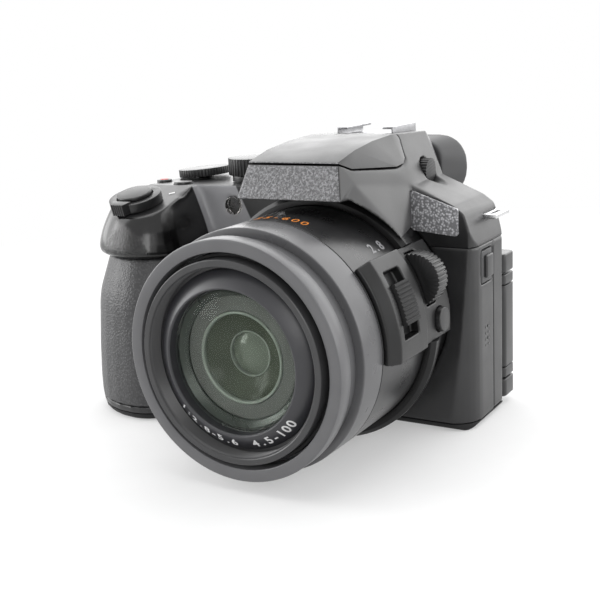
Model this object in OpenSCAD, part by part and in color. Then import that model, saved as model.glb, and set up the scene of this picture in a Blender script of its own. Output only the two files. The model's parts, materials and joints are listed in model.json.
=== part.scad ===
// Bridge camera: a fixed zoom lens, a viewfinder hump with a pop-up flash,
// a deep hand grip and a monitor on a side hinge.
// The lens looks along -Y, +X is the side away from the grip, +Z is up.
// The origin is the mouth of the tripod socket in the base.

/* [Body] */
// Height of the barrel's underside above the base
axis_lift = 2; // [1.6:0.1:4]
// How far the plain side stands outside the barrel
side_out = 7.2; // [6.4:0.1:11]
// Front face of the body at the base
front_y = -16; // [-18:0.5:-15]
// Front face of the body under the top cover
brow_y = -12.3; // [-13:0.1:-12]
// Wall behind the monitor
bay_y = 11.2; // [10.6:0.2:12]
// Rear face above the monitor
rear_y = 13; // [12.6:0.2:14]
// Rear face beside the monitor
back_y = 22; // [21:0.5:25]
// Joint between front and rear shell
part_y = 3; // [1:0.5:4]
// Joint between the shells and the top cover, above the lens axis
seam_up = 20.2; // [19.2:0.1:22]
// How far the flat top deck lies below the hump's front edge
deck_drop = 2; // [1:0.1:3]
// Radius of the front corner of the plain side
corner_r = 9; // [6:0.5:11]
// Wall of the shells
wall = 2; // [1.6:0.1:2.4]
// Thickness of the base plate
base_t = 2; // [1.8:0.1:2.4]

/* [Grip] */
// Outer side of the grip, measured from the lens axis
grip_out = 89.6; // [86:0.5:96]
// Inner side of the grip
grip_in = 52; // [50:0.5:54]
// Front of the grip
grip_y = -47; // [-52:0.5:-45]
// Height of the grip's cap, from its lip to the deck
cap_h = 20.1; // [19:0.1:21]
// How far the lip is drawn in from the palm
lip_in = 2.3; // [1.5:0.1:3]
// Lower edge of the rubber
band_z = 4.5; // [4:0.1:7]
// Thickness of the rubber
skin = 1.6; // [1.2:0.1:2]
// Slope of the deck around the shutter button
deck_slope = 15; // [11:1:17]
// Distance of the shutter button inside the grip's outer side
shutter_in = 20.6; // [18:0.1:23]
// Distance of the shutter button behind the grip's front
shutter_back = 16; // [14:0.5:18]

/* [Hump] */
// Front of the hump at its lower edge
nose_y = -48; // [-52:0.5:-45]
// How far the hump's front edge stands above the lens room
nose_up = 0.2; // [0.2:0.1:1]
// Half width of the hump's front at its lower edge
nose_half = 17; // [15:0.5:18]
// Half width of the hump's top
roof_half = 14.6; // [13:0.1:15]
// Height of the hump's top above its front edge
hump_h = 14.5; // [13:0.1:17.5]
// Half width of the hump where it meets the shoulder
skirt_half = 21.5; // [20:0.5:23]
// Half width of the eyecup
eyecup_half = 21.5; // [19:0.5:23]
// How far the eyecup stands out behind
eyecup_d = 13; // [10:0.5:16]

/* [Lens] */
// Outer radius of the barrel
barrel_r = 34.8; // [34.4:0.1:35.6]
// Front edge of the fixed ring
ring_y = -81; // [-84:0.5:-79]
// How far the fixed ring is drawn in from the barrel
ring_in = 1.2; // [0.8:0.1:2]
// Gap inside the fixed ring, round the front tube
ring_gap = 1.6; // [1.4:0.1:2.2]
// Length of the fixed ring in front of the hood groove
ring_l = 5.3; // [4:0.1:7]
// Width of the hood groove
groove_w = 5.2; // [3:0.1:6]
// Depth of the hood groove
groove_d = 1.4; // [0.8:0.1:1.8]
// Place of the barrel's seam
barrel_seam_y = -60; // [-62:0.5:-58]
// Front edge of the collar on the body
collar_y = -33; // [-35:0.5:-31]
// How far the collar stands out from the barrel
collar_out = 3.2; // [2.2:0.1:3.6]
// How far the collar's neck is drawn in from the barrel
neck_in = 1.2; // [0.8:0.1:1.8]
// How far the front tube lies inside the barrel's outside
tube_in = 6.4; // [6.3:0.1:6.8]
// Wall of the zoom tubes
tube_wall = 0.9; // [0.7:0.1:0.95]
// Radial running clearance of the zoom tubes
tube_gap = 0.1; // [0.08:0.01:0.12]
// How far the front tube stands in front of the fixed ring
tube_proud = 1; // [0:0.1:2]
// Travel of the front tube
zoom_travel = 45; // [30:1:45]
// Length of a zoom tube that stays held at full travel
tube_hold = 19.5; // [16:0.5:19.5]
// Wall of the front tube outside the filter thread
filter_wall = 2.4; // [2.2:0.1:2.8]
// Depth of the filter thread
filter_d = 4; // [3:0.1:5]
// Width of the name ring round the front glass
name_w = 6; // [4:0.5:9]

/* [Side controls] */
// How far the side block stands out from the barrel
block_out = 3.6; // [3.2:0.1:4.7]
// Lower edge of the side block, as an angle about the lens axis
block_low = -5; // [-8:1:-2]
// Upper edge of the side block, as an angle about the lens axis
block_high = 40; // [38:1:43]
// Swing of the side zoom lever each way
lever_swing = 5; // [2:1:6]
// Radius of the side dial
side_dial_r = 7.8; // [6.5:0.1:8]
// Radius of the side button
side_button_r = 3.6; // [2.5:0.1:4]

/* [Top controls] */
// Radius of the mode dial
mode_r = 7.8; // [6.5:0.1:8.5]
// Height of the mode dial
mode_h = 5.6; // [4:0.1:7]
// Radius of the command dial
command_r = 9.2; // [7.5:0.1:9.6]
// Height of the command dial
command_h = 2.6; // [2:0.1:3.5]
// Outward tilt of the command dial
command_tilt = 4; // [0:1:5]
// Radius of the shutter button
shutter_r = 5.8; // [4.5:0.1:6]
// Radius of the zoom ring round the shutter button
zoom_ring_r = 8.7; // [8:0.1:9]
// Travel of the shutter button
shutter_travel = 1; // [0.5:0.1:1.2]
// Travel of the small buttons
button_travel = 0.4; // [0.2:0.1:0.5]

/* [Monitor] */
// Width of the monitor
monitor_w = 74; // [70:0.5:75]
// Height of the monitor
monitor_h = 47.5; // [44:0.5:48]
// Lower edge of the monitor
monitor_z = 2.6; // [2.4:0.1:3]
// Room between the bay's wall and the monitor
monitor_gap = 1.4; // [1.3:0.1:1.6]
// Length of the hinge block
hinge_l = 27; // [20:1:30]
// Radius of the hinge pin
pin_r = 1.2; // [1:0.1:1.4]

/* [Stores] */
// Width of the battery door that the memory card takes up
card_room = 11.1; // [10:0.1:13]
// Depth of the battery
battery_d = 35; // [30:0.5:36]
// Height of the battery
battery_h = 42; // [36:0.5:44]
// Thickness, depth and height of the memory card
card_size = [2.1, 24, 32];
// Nominal radius of the tripod thread
tripod_r = 3.175; // [2.5:0.005:4.8]
// Depth of the tripod thread
tripod_d = 4.7; // [4:0.1:4.9]

/* [Hidden] */
// Clearance between pieces that move past each other
gap = 0.35;
// Clearance between pieces that stay together
seat = 0.05;
// Radial running clearance of pins and shafts
fit = 0.05;
eps = 0.01;
// Thickness of one level of a blended form
leaf = 0.2;
far = 300;
round_n = 7;
$fn = 64;

// Radii about the lens axis, from the barrel's
ring_r = barrel_r - ring_in;
collar_r = barrel_r + collar_out;
neck_r = barrel_r - neck_in;
block_r = barrel_r + block_out;
tube_r = barrel_r - tube_in;
ring_bore = tube_r + ring_gap;
filter_r = tube_r - filter_wall;
glass_r = filter_r - name_w;

// Room kept free round the lens by the hump
arch_gap = 0.5;
arch_r = collar_r + arch_gap;

// Heights, from the lens axis
axis_h = barrel_r + axis_lift;
seam_z = axis_h + seam_up;
nose_z = axis_h + arch_r + nose_up;
deck_z = nose_z - deck_drop;
roof_z = nose_z + hump_h;
shoulder_z = nose_z - 0.1;
lip_z = deck_z - cap_h;

// Widths, from the barrel and the grip
side_x = barrel_r + side_out;
shutter_x = shutter_in - grip_out;

black = [0.09, 0.09, 0.1];
satin = [0.16, 0.16, 0.17];
rubber = [0.12, 0.12, 0.12];
metal = [0.75, 0.75, 0.76];
glass = [0.3, 0.4, 0.36];

// Plane geometry

function xy(p) = [p[0], p[1]];
function unit(v) = v / norm(v);
function cross2(a, b) = a[0] * b[1] - a[1] * b[0];
function before(list, i) = list[(i + len(list) - 1) % len(list)];
function after(list, i) = list[(i + 1) % len(list)];

// Points of a round corner at b, between its neighbours a and c
function corner(a, b, c, r, n) =
  let (u = unit(a - b), v = unit(c - b), half = acos(u * v) / 2)
  let (p = b + u * r / tan(half), q = b + v * r / tan(half))
  let (o = b + unit(u + v) * r / sin(half))
  let (a0 = atan2(p[1] - o[1], p[0] - o[0]), a1 = atan2(q[1] - o[1], q[0] - o[0]))
  let (turn = (a1 - a0 + 540) % 360 - 180)
  [for (k = [0 : n]) o + r * [cos(a0 + turn * k / n), sin(a0 + turn * k / n)]];

// Outline through [x, y, radius] corners, counted anticlockwise
function rounded(pts, n = round_n) = [
  for (i = [0 : len(pts) - 1])
    each pts[i][2] > eps
      ? corner(xy(before(pts, i)), xy(pts[i]), xy(after(pts, i)), pts[i][2], n)
      : [xy(pts[i])]
];

// The same corners moved inwards by d
function inset(pts, d) = [
  for (i = [0 : len(pts) - 1])
    let (b = xy(pts[i]), u = unit(b - xy(before(pts, i))), v = unit(xy(after(pts, i)) - b))
    let (p = b + [-u[1], u[0]] * d, q = b + [-v[1], v[0]] * d)
    let (c = p + u * cross2(q - p, v) / cross2(u, v))
    [c[0], c[1], pts[i][2] > 0 ? max(pts[i][2] - d * sign(cross2(u, v)), 0) : 0]
];

function box_corners(x0, x1, y0, y1, r = 0) = [[x0, y0, r], [x1, y0, r], [x1, y1, r], [x0, y1, r]];

// Directions of extrusion: outlines in (x, z) along Y, and in (y, z) along X

module along_y(y0, y1) {
  translate([0, y1, 0]) rotate([90, 0, 0]) linear_extrude(y1 - y0) children();
}

module along_x(x0, x1) {
  translate([x0, 0, 0]) rotate([90, 0, 90]) linear_extrude(x1 - x0) children();
}

module block(a, b) {
  translate(a) cube(b - a);
}

// A turned piece about the lens axis, from an outline in (radius, y)
module lens_turn() {
  translate([0, 0, axis_h]) rotate([-90, 0, 0]) rotate_extrude($fn = 128) children();
}

module lens_tube(r0, r1, y0, y1) {
  lens_turn() translate([r0, y0]) square([r1 - r0, y1 - y0]);
}

module lens_bore(r, y0, y1) {
  translate([0, y0, axis_h]) rotate([-90, 0, 0]) cylinder(r = r, h = y1 - y0, $fn = 128);
}

// Places a piece that points out of the barrel at an angle about the lens axis
module at_lens_angle(angle, r, y) {
  translate([0, y, axis_h]) rotate([0, -angle, 0]) translate([r, 0, 0]) children();
}

// Knurled rim of a dial about Z
module knurled(r, h, teeth, depth) {
  difference() {
    cylinder(r = r, h = h);
    for (k = [0 : teeth - 1])
      rotate([0, 0, 360 * k / teeth])
        translate([r, 0, -eps]) cylinder(r = depth, h = h + 2 * eps, $fn = 6);
  }
}

// Main forms, each drawn in by d

bay_x = side_x - monitor_w - 0.4;
bay_top = monitor_z + monitor_h + 0.7;
plan_body = [
  [-60, front_y, 0], [side_x, front_y, corner_r], [side_x, rear_y, 3], [bay_x + 4, rear_y, 3],
  [bay_x, back_y, 3], [-60, back_y, 0]
];
face_body = [
  [-60, 0, 0], [side_x, 0, 3], [side_x, seam_z - 0.5, 6], [side_x - 3.4, seam_z + 10, 3],
  [side_x - 7, seam_z + 12.6, 4], [skirt_half, shoulder_z, 0], [-skirt_half, shoulder_z, 0],
  [-skirt_half - 8, deck_z, 0], [-60, deck_z, 0]
];
flank_body = [
  [front_y, 0, 2.5], [back_y, 0, 1.5], [back_y, shoulder_z + 2, 0],
  [brow_y + 0.3, shoulder_z + 2, 0], [brow_y, seam_z, 0]
];

module body_form(d) {
  intersection() {
    linear_extrude(far) polygon(rounded(inset(plan_body, d)));
    along_y(-far, far) polygon(rounded(inset(face_body, d)));
    along_x(-far, far) polygon(rounded(inset(flank_body, d)));
  }
}

grip_radius = 24;
grip_inner_radius = 13;
grip_rear_radius = 9;

// One level of the grip: drawn in by d at the front and outside, e inside and f behind
module grip_level(z, d, e, f) {
  translate([0, 0, z])
    linear_extrude(leaf)
      polygon(rounded([
        [-grip_out + d, grip_y + d, grip_radius - d], [-grip_in - e, grip_y + d, grip_inner_radius - e],
        [-grip_in - e, back_y - f, 0], [-grip_out + d, back_y - f, grip_rear_radius - min(d, 4)]
      ]));
}

// Below the lip the grip swells towards its foot and draws in to a waist
waist_in = 6;
flare = 0.9;

module grip_form(d) {
  hull() {
    grip_level(0, d + 1.2, d + 2, 2 - d);
    grip_level(1.2, d, d + 1, 0.4 - d);
    grip_level(band_z, d - flare, d + 0.4, -d);
    grip_level(lip_z - 42, d - flare, d, -d);
    grip_level(lip_z - 31, d - 0.3, d, -d);
    grip_level(lip_z - 16, d + 1, d, -d);
    grip_level(lip_z - 12, d + 1.8, d + 0.2, -d);
    grip_level(lip_z - 8, d + 3.2, d + 0.6, -d);
    grip_level(lip_z - leaf, d + waist_in, d + 1.2, -d);
  }
}

// Above the lip the grip rounds over to the deck
module cap_form() {
  rise = deck_z - lip_z;
  hull() {
    grip_level(lip_z, lip_in + 2.4, 1.5, 0.4);
    grip_level(lip_z + 0.5, lip_in + 0.8, 0.6, 0);
    grip_level(lip_z + 1.6, lip_in, 0, 0);
    grip_level(lip_z + 0.22 * rise, lip_in + 0.6, 0.6, 0);
    grip_level(lip_z + 0.4 * rise, lip_in + 1.8, 1.6, 0.1);
    grip_level(lip_z + 0.55 * rise, lip_in + 3.2, 2.8, 0.4);
    grip_level(lip_z + 0.75 * rise, lip_in + 5.4, 4.2, 1.1);
    grip_level(lip_z + 0.89 * rise, lip_in + 8, 5.2, 2.2);
    grip_level(deck_z - leaf, lip_in + 11, 6, 4);
  }
}

// Room that the shells leave to the cap
module cap_room() {
  block([-far, -far, lip_z], [-grip_in, far, far]);
}

// The deck slopes down to the grip's front in front of this line
slope_y = brow_y - 2.5;

module above_slope(z) {
  translate([-far, slope_y, z])
    rotate([deck_slope, 0, 0])
      translate([0, -far, 0]) cube([2 * far, far, far]);
}

function slope_height(y) = deck_z + (y - slope_y) * tan(deck_slope);

// Places a control on the sloping deck, with Z square to it
module on_slope(x, y) {
  translate([x, y, slope_height(y)]) rotate([deck_slope, 0, 0]) children();
}

shutter_y = grip_y + shutter_back;

// The hump, as a hull of corner points given for the +X half
nose_lean = 4;
roof_front_z = roof_z - 4.3;
hump_rear = 1.5;
roof_fall = 1.2;

module hump_form() {
  half = [
    [nose_half, nose_y, nose_z], [roof_half, nose_y + nose_lean, roof_front_z],
    [roof_half, nose_y + 14, roof_z - 2], [roof_half - 0.4, nose_y + 26, roof_z - 0.6],
    [roof_half - 0.6, -9, roof_z], [roof_half - 0.6, back_y - 6, roof_z - roof_fall],
    [roof_half - 1, back_y - hump_rear, roof_z - 4], [nose_half + 0.6, nose_y + 7, nose_z + 4.5],
    [skirt_half, -10, shoulder_z], [skirt_half, rear_y, shoulder_z - 1],
    [skirt_half - 4.4, back_y - 0.7, shoulder_z - 3],
    [nose_half - 4, collar_y, axis_h + collar_r - 1]
  ];
  hull()
    for (side = [-1, 1], p = half)
      translate([side * p[0], p[1], p[2]]) cube(leaf, center = true);
}

// The hump's flank on the plain side, from its crease down to the edge of the lens room.
// The points round the lens are an angle and a depth
flank_r = arch_r + 0.1;
flank_flare = 6;
flank_ring = [[43, collar_y], [52, collar_y], [62, collar_y], [72, collar_y], [47, -21], [57, -17]];

module flank_form() {
  inner_z = axis_h + collar_r - 1;
  crease = [
    [nose_half - 0.4, nose_y + 1, nose_z + 0.4], [nose_half + 0.5, nose_y + 7, nose_z + 4.3],
    [skirt_half - 0.1, -11, shoulder_z - 0.2],
    [nose_half - 11, collar_y, inner_z], [nose_half - 11, -14, inner_z]
  ];
  ring = [for (p = flank_ring) [flank_r * cos(p[0]), p[1], axis_h + flank_r * sin(p[0])]];
  difference() {
    hull()
      for (p = concat(crease, ring))
        translate(p) cube(leaf, center = true);
    lens_turn() polygon([
      [0, nose_y - 1], [arch_r + flank_flare, nose_y - 1], [arch_r, collar_y], [0, collar_y]
    ]);
  }
}

module lens_room() {
  lens_bore(arch_r, nose_y - 1, collar_y);
  lens_bore(collar_r + seat, collar_y - eps, collar_y + collar_land);
  lens_turn() polygon([
    [0, collar_y + collar_land - eps], [collar_r + seat, collar_y + collar_land - eps],
    [neck_r + seat, neck_y], [neck_r + seat, brow_y + 4], [0, brow_y + 4]
  ]);
}

collar_land = 3;
neck_y = front_y - 1;

// Inside of the shells

module bay(d) {
  block([bay_x - d, bay_y - d, -far], [far, far, bay_top + d]);
}

module hollow() {
  difference() {
    body_form(wall);
    bay(wall);
  }
  room = wall + skin;
  hull() {
    grip_level(-leaf, room + 1, wall + 2, 2 + wall);
    grip_level(lip_z - 21, room + 1, room + 0.4, wall);
    grip_level(lip_z, room + waist_in, room + 1.6, wall);
  }
  hull() {
    grip_level(lip_z, room + waist_in, room + 1.6, wall);
    grip_level(lip_z + 8, room + waist_in, room + 3, wall + 1);
  }
  block([-grip_out + 17, brow_y + wall, lip_z], [-grip_in, back_y - wall - 3, deck_z - wall]);
}

evf_size = [24, 21, 15];
evf_z = roof_z - 20.8;

evf_half = evf_size[0] / 2;

module evf_room() {
  block([-evf_half - gap, -3, seam_z + 8], [evf_half + gap, back_y - wall, evf_z + evf_size[2] + 0.6]);
}

// Housing of the eyepiece, behind the rear face
module finder_form() {
  half = skirt_half - 4;
  translate([0, 0, seam_z + 4])
    linear_extrude(shoulder_z - seam_z - 3)
      polygon(rounded([[-half, 0, 0], [half, 0, 0], [half, back_y, 3], [-half, back_y, 3]]));
}

// Screws through the base: places of their posts
screw_xy = [[side_x - 3.8, -6.5], [side_x - 3.8, bay_y - 4.6], [-47, front_y + 4.2], [-47, back_y - 4]];
screw_r = 0.8;
screw_head_r = 1.8;
screw_head_t = 0.9;
screw_l = 8;
post_r = 2.6;

module posts(front) {
  for (p = screw_xy)
    if ((p[1] < part_y) == front)
      translate([p[0], p[1], base_t])
        difference() {
          cylinder(r = post_r, h = screw_l);
          translate([0, 0, -eps]) cylinder(r = screw_r + fit, h = screw_l - 1);
        }
}

module below(z) { block([-far, -far, -far], [far, far, z]); }
module between(z0, z1) { block([-far, -far, z0], [far, far, z1]); }
module ahead_of(y) { block([-far, -far, -far], [far, y, far]); }
module behind(y) { block([-far, y, -far], [far, far, far]); }

// Controls on the rear: [x, z, radius]
rear_x = -grip_in - 5;
cursor_at = [rear_x, 27, 9];
set_r = 4.2;
focus_at = [-44, seam_z + 6.6, 6];
lock_r = 3.2;
finder_at = [focus_at[0] + 6.8, focus_at[1] + 6.2, 2.3];
play_at = [-40.8, 47.5, 2.8];
menu_at = [-40.8, 11, 2.8];
button_proud = 0.8;
button_root = 3;

module rear_hole(at, room = gap / 2) {
  translate([at[0], back_y - 2 * button_root, at[1]])
    rotate([-90, 0, 0]) cylinder(r = at[2] + room, h = 3 * button_root);
}

module rear_button(at, r_in = 0, proud = button_proud) {
  translate([at[0], back_y - button_root, at[1]])
    rotate([-90, 0, 0])
      difference() {
        cylinder(r = at[2], h = button_root + proud);
        if (r_in > 0)
          translate([0, 0, -eps]) cylinder(r = r_in, h = button_root + proud + 2 * eps);
      }
}

// Cap over the microphone socket, set in the plain side
mic_y = [-6.8, 1.6];
mic_z = [seam_z - 12, seam_z - 2];
mic_t = 1.5;

// Door over the sockets in the grip's outer side
door_y = [part_y + 1.4, back_y - grip_rear_radius - 0.2];
door_z = [13, lip_z - 14];
door_t = 1.9;

// Battery door in the base
hatch_x = [-grip_out + 8.5, -grip_in - 3.5];
hatch_y = [grip_y + 14, 6];
hatch_r = base_t / 2;

// Monitor and its hinge
monitor_y = bay_y + monitor_gap;
monitor_t = back_y - monitor_y;
hinge_xy = [side_x - monitor_t / 2, monitor_y + monitor_t / 2];
hinge_z = monitor_z + (monitor_h - hinge_l) / 2;
hinge_x = hinge_xy[0] - monitor_t / 2 - 1.2;
lug_h = 3.6;
lug_r = 3;

// Holes of the speaker in the plain side: lowest front one, as (y, z)
speaker_at = [-3.6, 25];
speaker_step = 1.9;
speaker_r = 0.5;

// Shells

module front_shell() {
  color(satin)
  difference() {
    union() {
      difference() {
        union() {
          intersection() {
            body_form(0);
            between(base_t, seam_z);
          }
          intersection() {
            grip_form(skin);
            between(band_z, lip_z);
          }
          intersection() {
            grip_form(0);
            between(base_t, band_z);
          }
        }
        hollow();
      }
      intersection() {
        body_form(0);
        posts(true);
      }
    }
    behind(part_y);
    lens_room();
    cap_room();
    block(
      [side_x - mic_t - gap, mic_y[0] - gap, mic_z[0] - gap],
      [far, mic_y[1] + gap, mic_z[1] + gap]
    );
    for (row = [0 : 3], col = [0 : 1])
      translate([side_x - 2 * wall, speaker_at[0] + speaker_step * col, speaker_at[1] + speaker_step * row])
        rotate([0, 90, 0]) cylinder(r = speaker_r, h = 3 * wall, $fn = 16);
  }
}

module rear_shell() {
  color(satin) {
    difference() {
      union() {
        difference() {
          union() {
            intersection() {
              body_form(0);
              between(base_t, seam_z);
            }
            intersection() {
              grip_form(0);
              between(base_t, lip_z);
            }
          }
          hollow();
        }
        posts(false);
      }
      ahead_of(part_y);
      bay(0);
      cap_room();
      for (at = [cursor_at, play_at, menu_at])
        rear_hole(at);
      block(
        [-far, door_y[0] - gap, door_z[0] - gap],
        [-grip_out + door_t + 1.6, door_y[1] + gap, door_z[1] + gap]
      );
    }
    for (z = [hinge_z - gap - lug_h, hinge_z + hinge_l + gap])
      translate([0, 0, z])
        difference() {
          union() {
            translate([hinge_xy[0], hinge_xy[1], 0]) cylinder(r = lug_r, h = lug_h);
            block([hinge_xy[0] - lug_r, bay_y, 0], [hinge_xy[0] + lug_r, hinge_xy[1], lug_h]);
          }
          translate([hinge_xy[0], hinge_xy[1], -eps]) cylinder(r = pin_r + fit, h = lug_h + 2 * eps);
        }
  }
}

module base_plate() {
  color(black)
  difference() {
    intersection() {
      union() {
        body_form(0);
        grip_form(0);
      }
      below(base_t);
    }
    bay(0);
    block(
      [hatch_x[0] - gap, hatch_y[0] - gap, -far],
      [hatch_x[1] + gap, hatch_y[1] + gap, far]
    );
    cylinder(r = bush_r + seat, h = 3 * base_t, center = true);
    for (p = screw_xy)
      translate([p[0], p[1], 0]) {
        cylinder(r = screw_r + fit, h = 3 * base_t, center = true);
        cylinder(r = screw_head_r + fit, h = 2 * (screw_head_t + 0.3), center = true);
      }
  }
}

module top_cover() {
  color(satin)
  difference() {
    union() {
      intersection() {
        body_form(0);
        between(seam_z, far);
      }
      difference() {
        cap_form();
        above_slope(deck_z);
      }
      intersection() {
        hump_form();
        between(seam_z, far);
      }
      flank_form();
      finder_form();
    }
    difference() {
      hollow();
      above_slope(deck_z - wall - 1);
    }
    evf_room();
    lens_room();
    flash_room();
    shoe_room();
    diopter_room();
    top_holes();
    lug_plates(false);
    rear_hole(focus_at, fit);
    rear_hole(finder_at);
    eyepiece(seat);
    lamp(seat);
  }
  color(satin) {
    flash_knuckle();
    diopter_axle(0, gap + diopter_t / 2);
  }
}

module grip_rubber() {
  color(rubber)
  difference() {
    intersection() {
      grip_form(0);
      between(band_z, lip_z);
    }
    grip_form(skin);
    body_form(0);
    behind(part_y);
  }
}

module thumb_rest() {
  color(rubber)
  along_y(back_y, back_y + 2.6)
    polygon(rounded(box_corners(-grip_out + 8, -grip_out + 25, lip_z - 16, lip_z - 2.5, 5)));
}

pad_t = 0.7;
module side_pad() {
  color(rubber)
  difference() {
    along_y(brow_y - pad_t, brow_y + 0.3)
      polygon(rounded([
        [nose_half + 3, seam_z + 5, 1], [side_x - 5, seam_z + 3.4, 1],
        [side_x - 5, seam_z + 11.6, 1], [skirt_half, shoulder_z - 1.4, 1]
      ]));
    body_form(0);
    hump_form();
    flank_form();
    lens_room();
  }
}

// Lens

module lens_collar() {
  color(satin)
  intersection() {
    lens_turn() polygon([
      [barrel_r + 0.2, collar_y], [collar_r - 1.2, collar_y], [collar_r, collar_y + 1.2],
      [collar_r, collar_y + collar_land], [neck_r, neck_y], [neck_r, brow_y + 3.5],
      [tail_r + seat, brow_y + 3.5], [tail_r + seat, collar_y + collar_land],
      [barrel_r + 0.2, collar_y + collar_land]
    ]);
    difference() {
      between(0.4, far);
      at_block();
      side_dial_room();
    }
  }
}

tail_r = barrel_r - 3.3;
tail_y = -2;
mid_bore = tube_r + tube_gap;
mid_r = mid_bore + tube_wall;
barrel_bore = mid_r + tube_gap;
sleeve_r = ring_r - groove_d;
sleeve_l = 6;
groove_y = ring_y + ring_l;
barrel_y = groove_y + groove_w;

module outer_barrel() {
  shoulder_y = collar_y + collar_land;
  groove = 0.4;
  pocket_r = barrel_bore - 3;
  pocket_y = [mid_y + tube_l + 0.5, shoulder_y + 3];
  color(satin)
  difference() {
    lens_turn() polygon([
      [sleeve_r + seat, barrel_y], [barrel_r - 0.6, barrel_y], [barrel_r, barrel_y + 0.6],
      [barrel_r, barrel_seam_y - groove / 2], [barrel_r - groove, barrel_seam_y - groove / 2],
      [barrel_r - groove, barrel_seam_y + groove / 2], [barrel_r, barrel_seam_y + groove / 2],
      [barrel_r, shoulder_y - seat], [tail_r, shoulder_y - seat], [tail_r, tail_y],
      [rear_group_r + seat, tail_y], [rear_group_r + seat, tail_y - wall],
      [tail_r - 1.5, tail_y - wall], [tail_r - 1.5, pocket_y[1]], [pocket_r, pocket_y[1]],
      [pocket_r, pocket_y[0]], [barrel_bore, pocket_y[0]], [barrel_bore, barrel_y + sleeve_l],
      [sleeve_r + seat, barrel_y + sleeve_l]
    ]);
    side_dial_room();
  }
}

module front_ring() {
  color(satin)
  lens_turn() polygon([
    [ring_bore, ring_y + 0.5], [ring_bore + 0.4, ring_y + 0.3], [ring_r - 0.4, ring_y],
    [ring_r, ring_y + 0.4], [ring_r, groove_y], [sleeve_r, groove_y],
    [sleeve_r, barrel_y + sleeve_l - seat], [barrel_bore, barrel_y + sleeve_l - seat],
    [barrel_bore, ring_y + 6], [ring_bore, ring_y + 5]
  ]);
}

tube_l = zoom_travel / 2 + tube_hold;
tube_y = ring_y - tube_proud;
mid_y = ring_y + 3;
second_r = 12;

module mid_tube() {
  rear = mid_y + tube_l;
  color(black)
  lens_turn() polygon([
    [mid_bore, mid_y], [mid_r, mid_y], [mid_r, rear], [second_r + seat, rear],
    [second_r + seat, rear - 2.6], [mid_bore, rear - 2.6]
  ]);
}

module zoom_tube() {
  thread_y = tube_y + filter_d;
  rear = tube_y + tube_l - 4;
  color(black)
  lens_turn() polygon([
    [filter_r + 0.7, tube_y], [tube_r - 0.3, tube_y], [tube_r, tube_y + 0.3], [tube_r, rear],
    [tube_r - 1.5, rear], [tube_r - 1.5, thread_y + 9], [filter_r - 0.8, thread_y + 8.4],
    [filter_r - 0.8, thread_y], [filter_r, thread_y], [filter_r, tube_y + 0.7]
  ]);
}

module name_ring() {
  seat_y = tube_y + filter_d;
  color(black)
  lens_turn() polygon([
    [glass_r + seat, tube_y + 0.9], [glass_r + 0.8, tube_y + 0.7], [filter_r - 0.8 - seat, seat_y],
    [filter_r - 0.8 - seat, seat_y + 6], [glass_r + seat, seat_y + 6]
  ]);
}

// Front glass: a shallow dome on a plain rim
module front_element() {
  sag = 3.2;
  dome_r = (glass_r * glass_r + sag * sag) / (2 * sag);
  vertex_y = tube_y + 0.4;
  reach = asin(glass_r / dome_r);
  color(glass)
  lens_turn() polygon(concat(
    [for (k = [0 : 8]) let (a = reach * k / 8) [dome_r * sin(a), vertex_y + dome_r * (1 - cos(a))]],
    [[glass_r, vertex_y + 9], [0, vertex_y + 7]]
  ));
}

module second_group() {
  rear = mid_y + tube_l;
  color(glass)
  lens_turn() polygon([
    [0, rear - 4.4], [second_r * 0.6, rear - 3.8], [second_r, rear - 2.6], [second_r, rear], [0, rear]
  ]);
}

rear_group_r = 12;
module rear_group() {
  color(glass)
  lens_turn() polygon([
    [0, tail_y - 9.4], [rear_group_r * 0.6, tail_y - 8.8], [rear_group_r, tail_y - 7.6],
    [rear_group_r, tail_y], [0, tail_y]
  ]);
}

sensor_t = 6;
module image_sensor() {
  color([0.2, 0.35, 0.3])
  block([-17, tail_y, axis_h - 14], [17, tail_y + sensor_t, axis_h + 14]);
}

module zoom_motor() {
  motor_r = 5;
  motor_l = 13;
  shaft_r = 1;
  shaft_l = 1.2;
  color(metal)
  translate([13 - grip_in, front_y + 5.5, base_t + motor_r]) rotate([-90, 0, 0]) {
    cylinder(r = motor_r, h = motor_l);
    cylinder(r = shaft_r, h = motor_l + shaft_l);
  }
}

// Side controls on the barrel

block_y = [barrel_seam_y + 0.6, front_y - 3.5];
block_step = block_y[0] + 21;
slot_y = [block_y[0] + 6.2, block_y[0] + 15.4];
slot_low = block_low + 9;
slot_high = block_high - 7;
lever_arc = slot_high - slot_low - 2 * lever_swing - 2;
lever_mid = (slot_low + slot_high) / 2;

// A wedge about the lens axis between two angles
module lens_wedge(a0, a1, y0, y1) {
  reach = 80;
  mid = (a0 + a1) / 2;
  translate([0, 0, axis_h])
    along_y(y0, y1)
      polygon([
        [0, 0], reach * [cos(a0), sin(a0)], 1.2 * reach * [cos(mid), sin(mid)], reach * [cos(a1), sin(a1)]
      ]);
}

// The room that the side block takes up outside the barrel
module at_block() {
  intersection() {
    lens_tube(barrel_r + seat, block_r + 5, collar_y - 1, block_y[1] + seat);
    lens_wedge(block_low - 0.1, block_high + 0.1, collar_y - 2, block_y[1] + 1);
  }
}

side_dial_at = [barrel_r - 2.4, block_step + 7, axis_h + 14.7];
side_dial_t = 6;
side_button_angle = 3.2;
side_button_y = block_y[1] - 7.5;
rear_block_r = block_r - 1.2;
axle_r = 0.7;

module side_dial_room() {
  translate(side_dial_at)
    rotate([-90, 0, 0]) cylinder(r = side_dial_r + gap, h = side_dial_t + 2 * gap, center = true);
}

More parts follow.
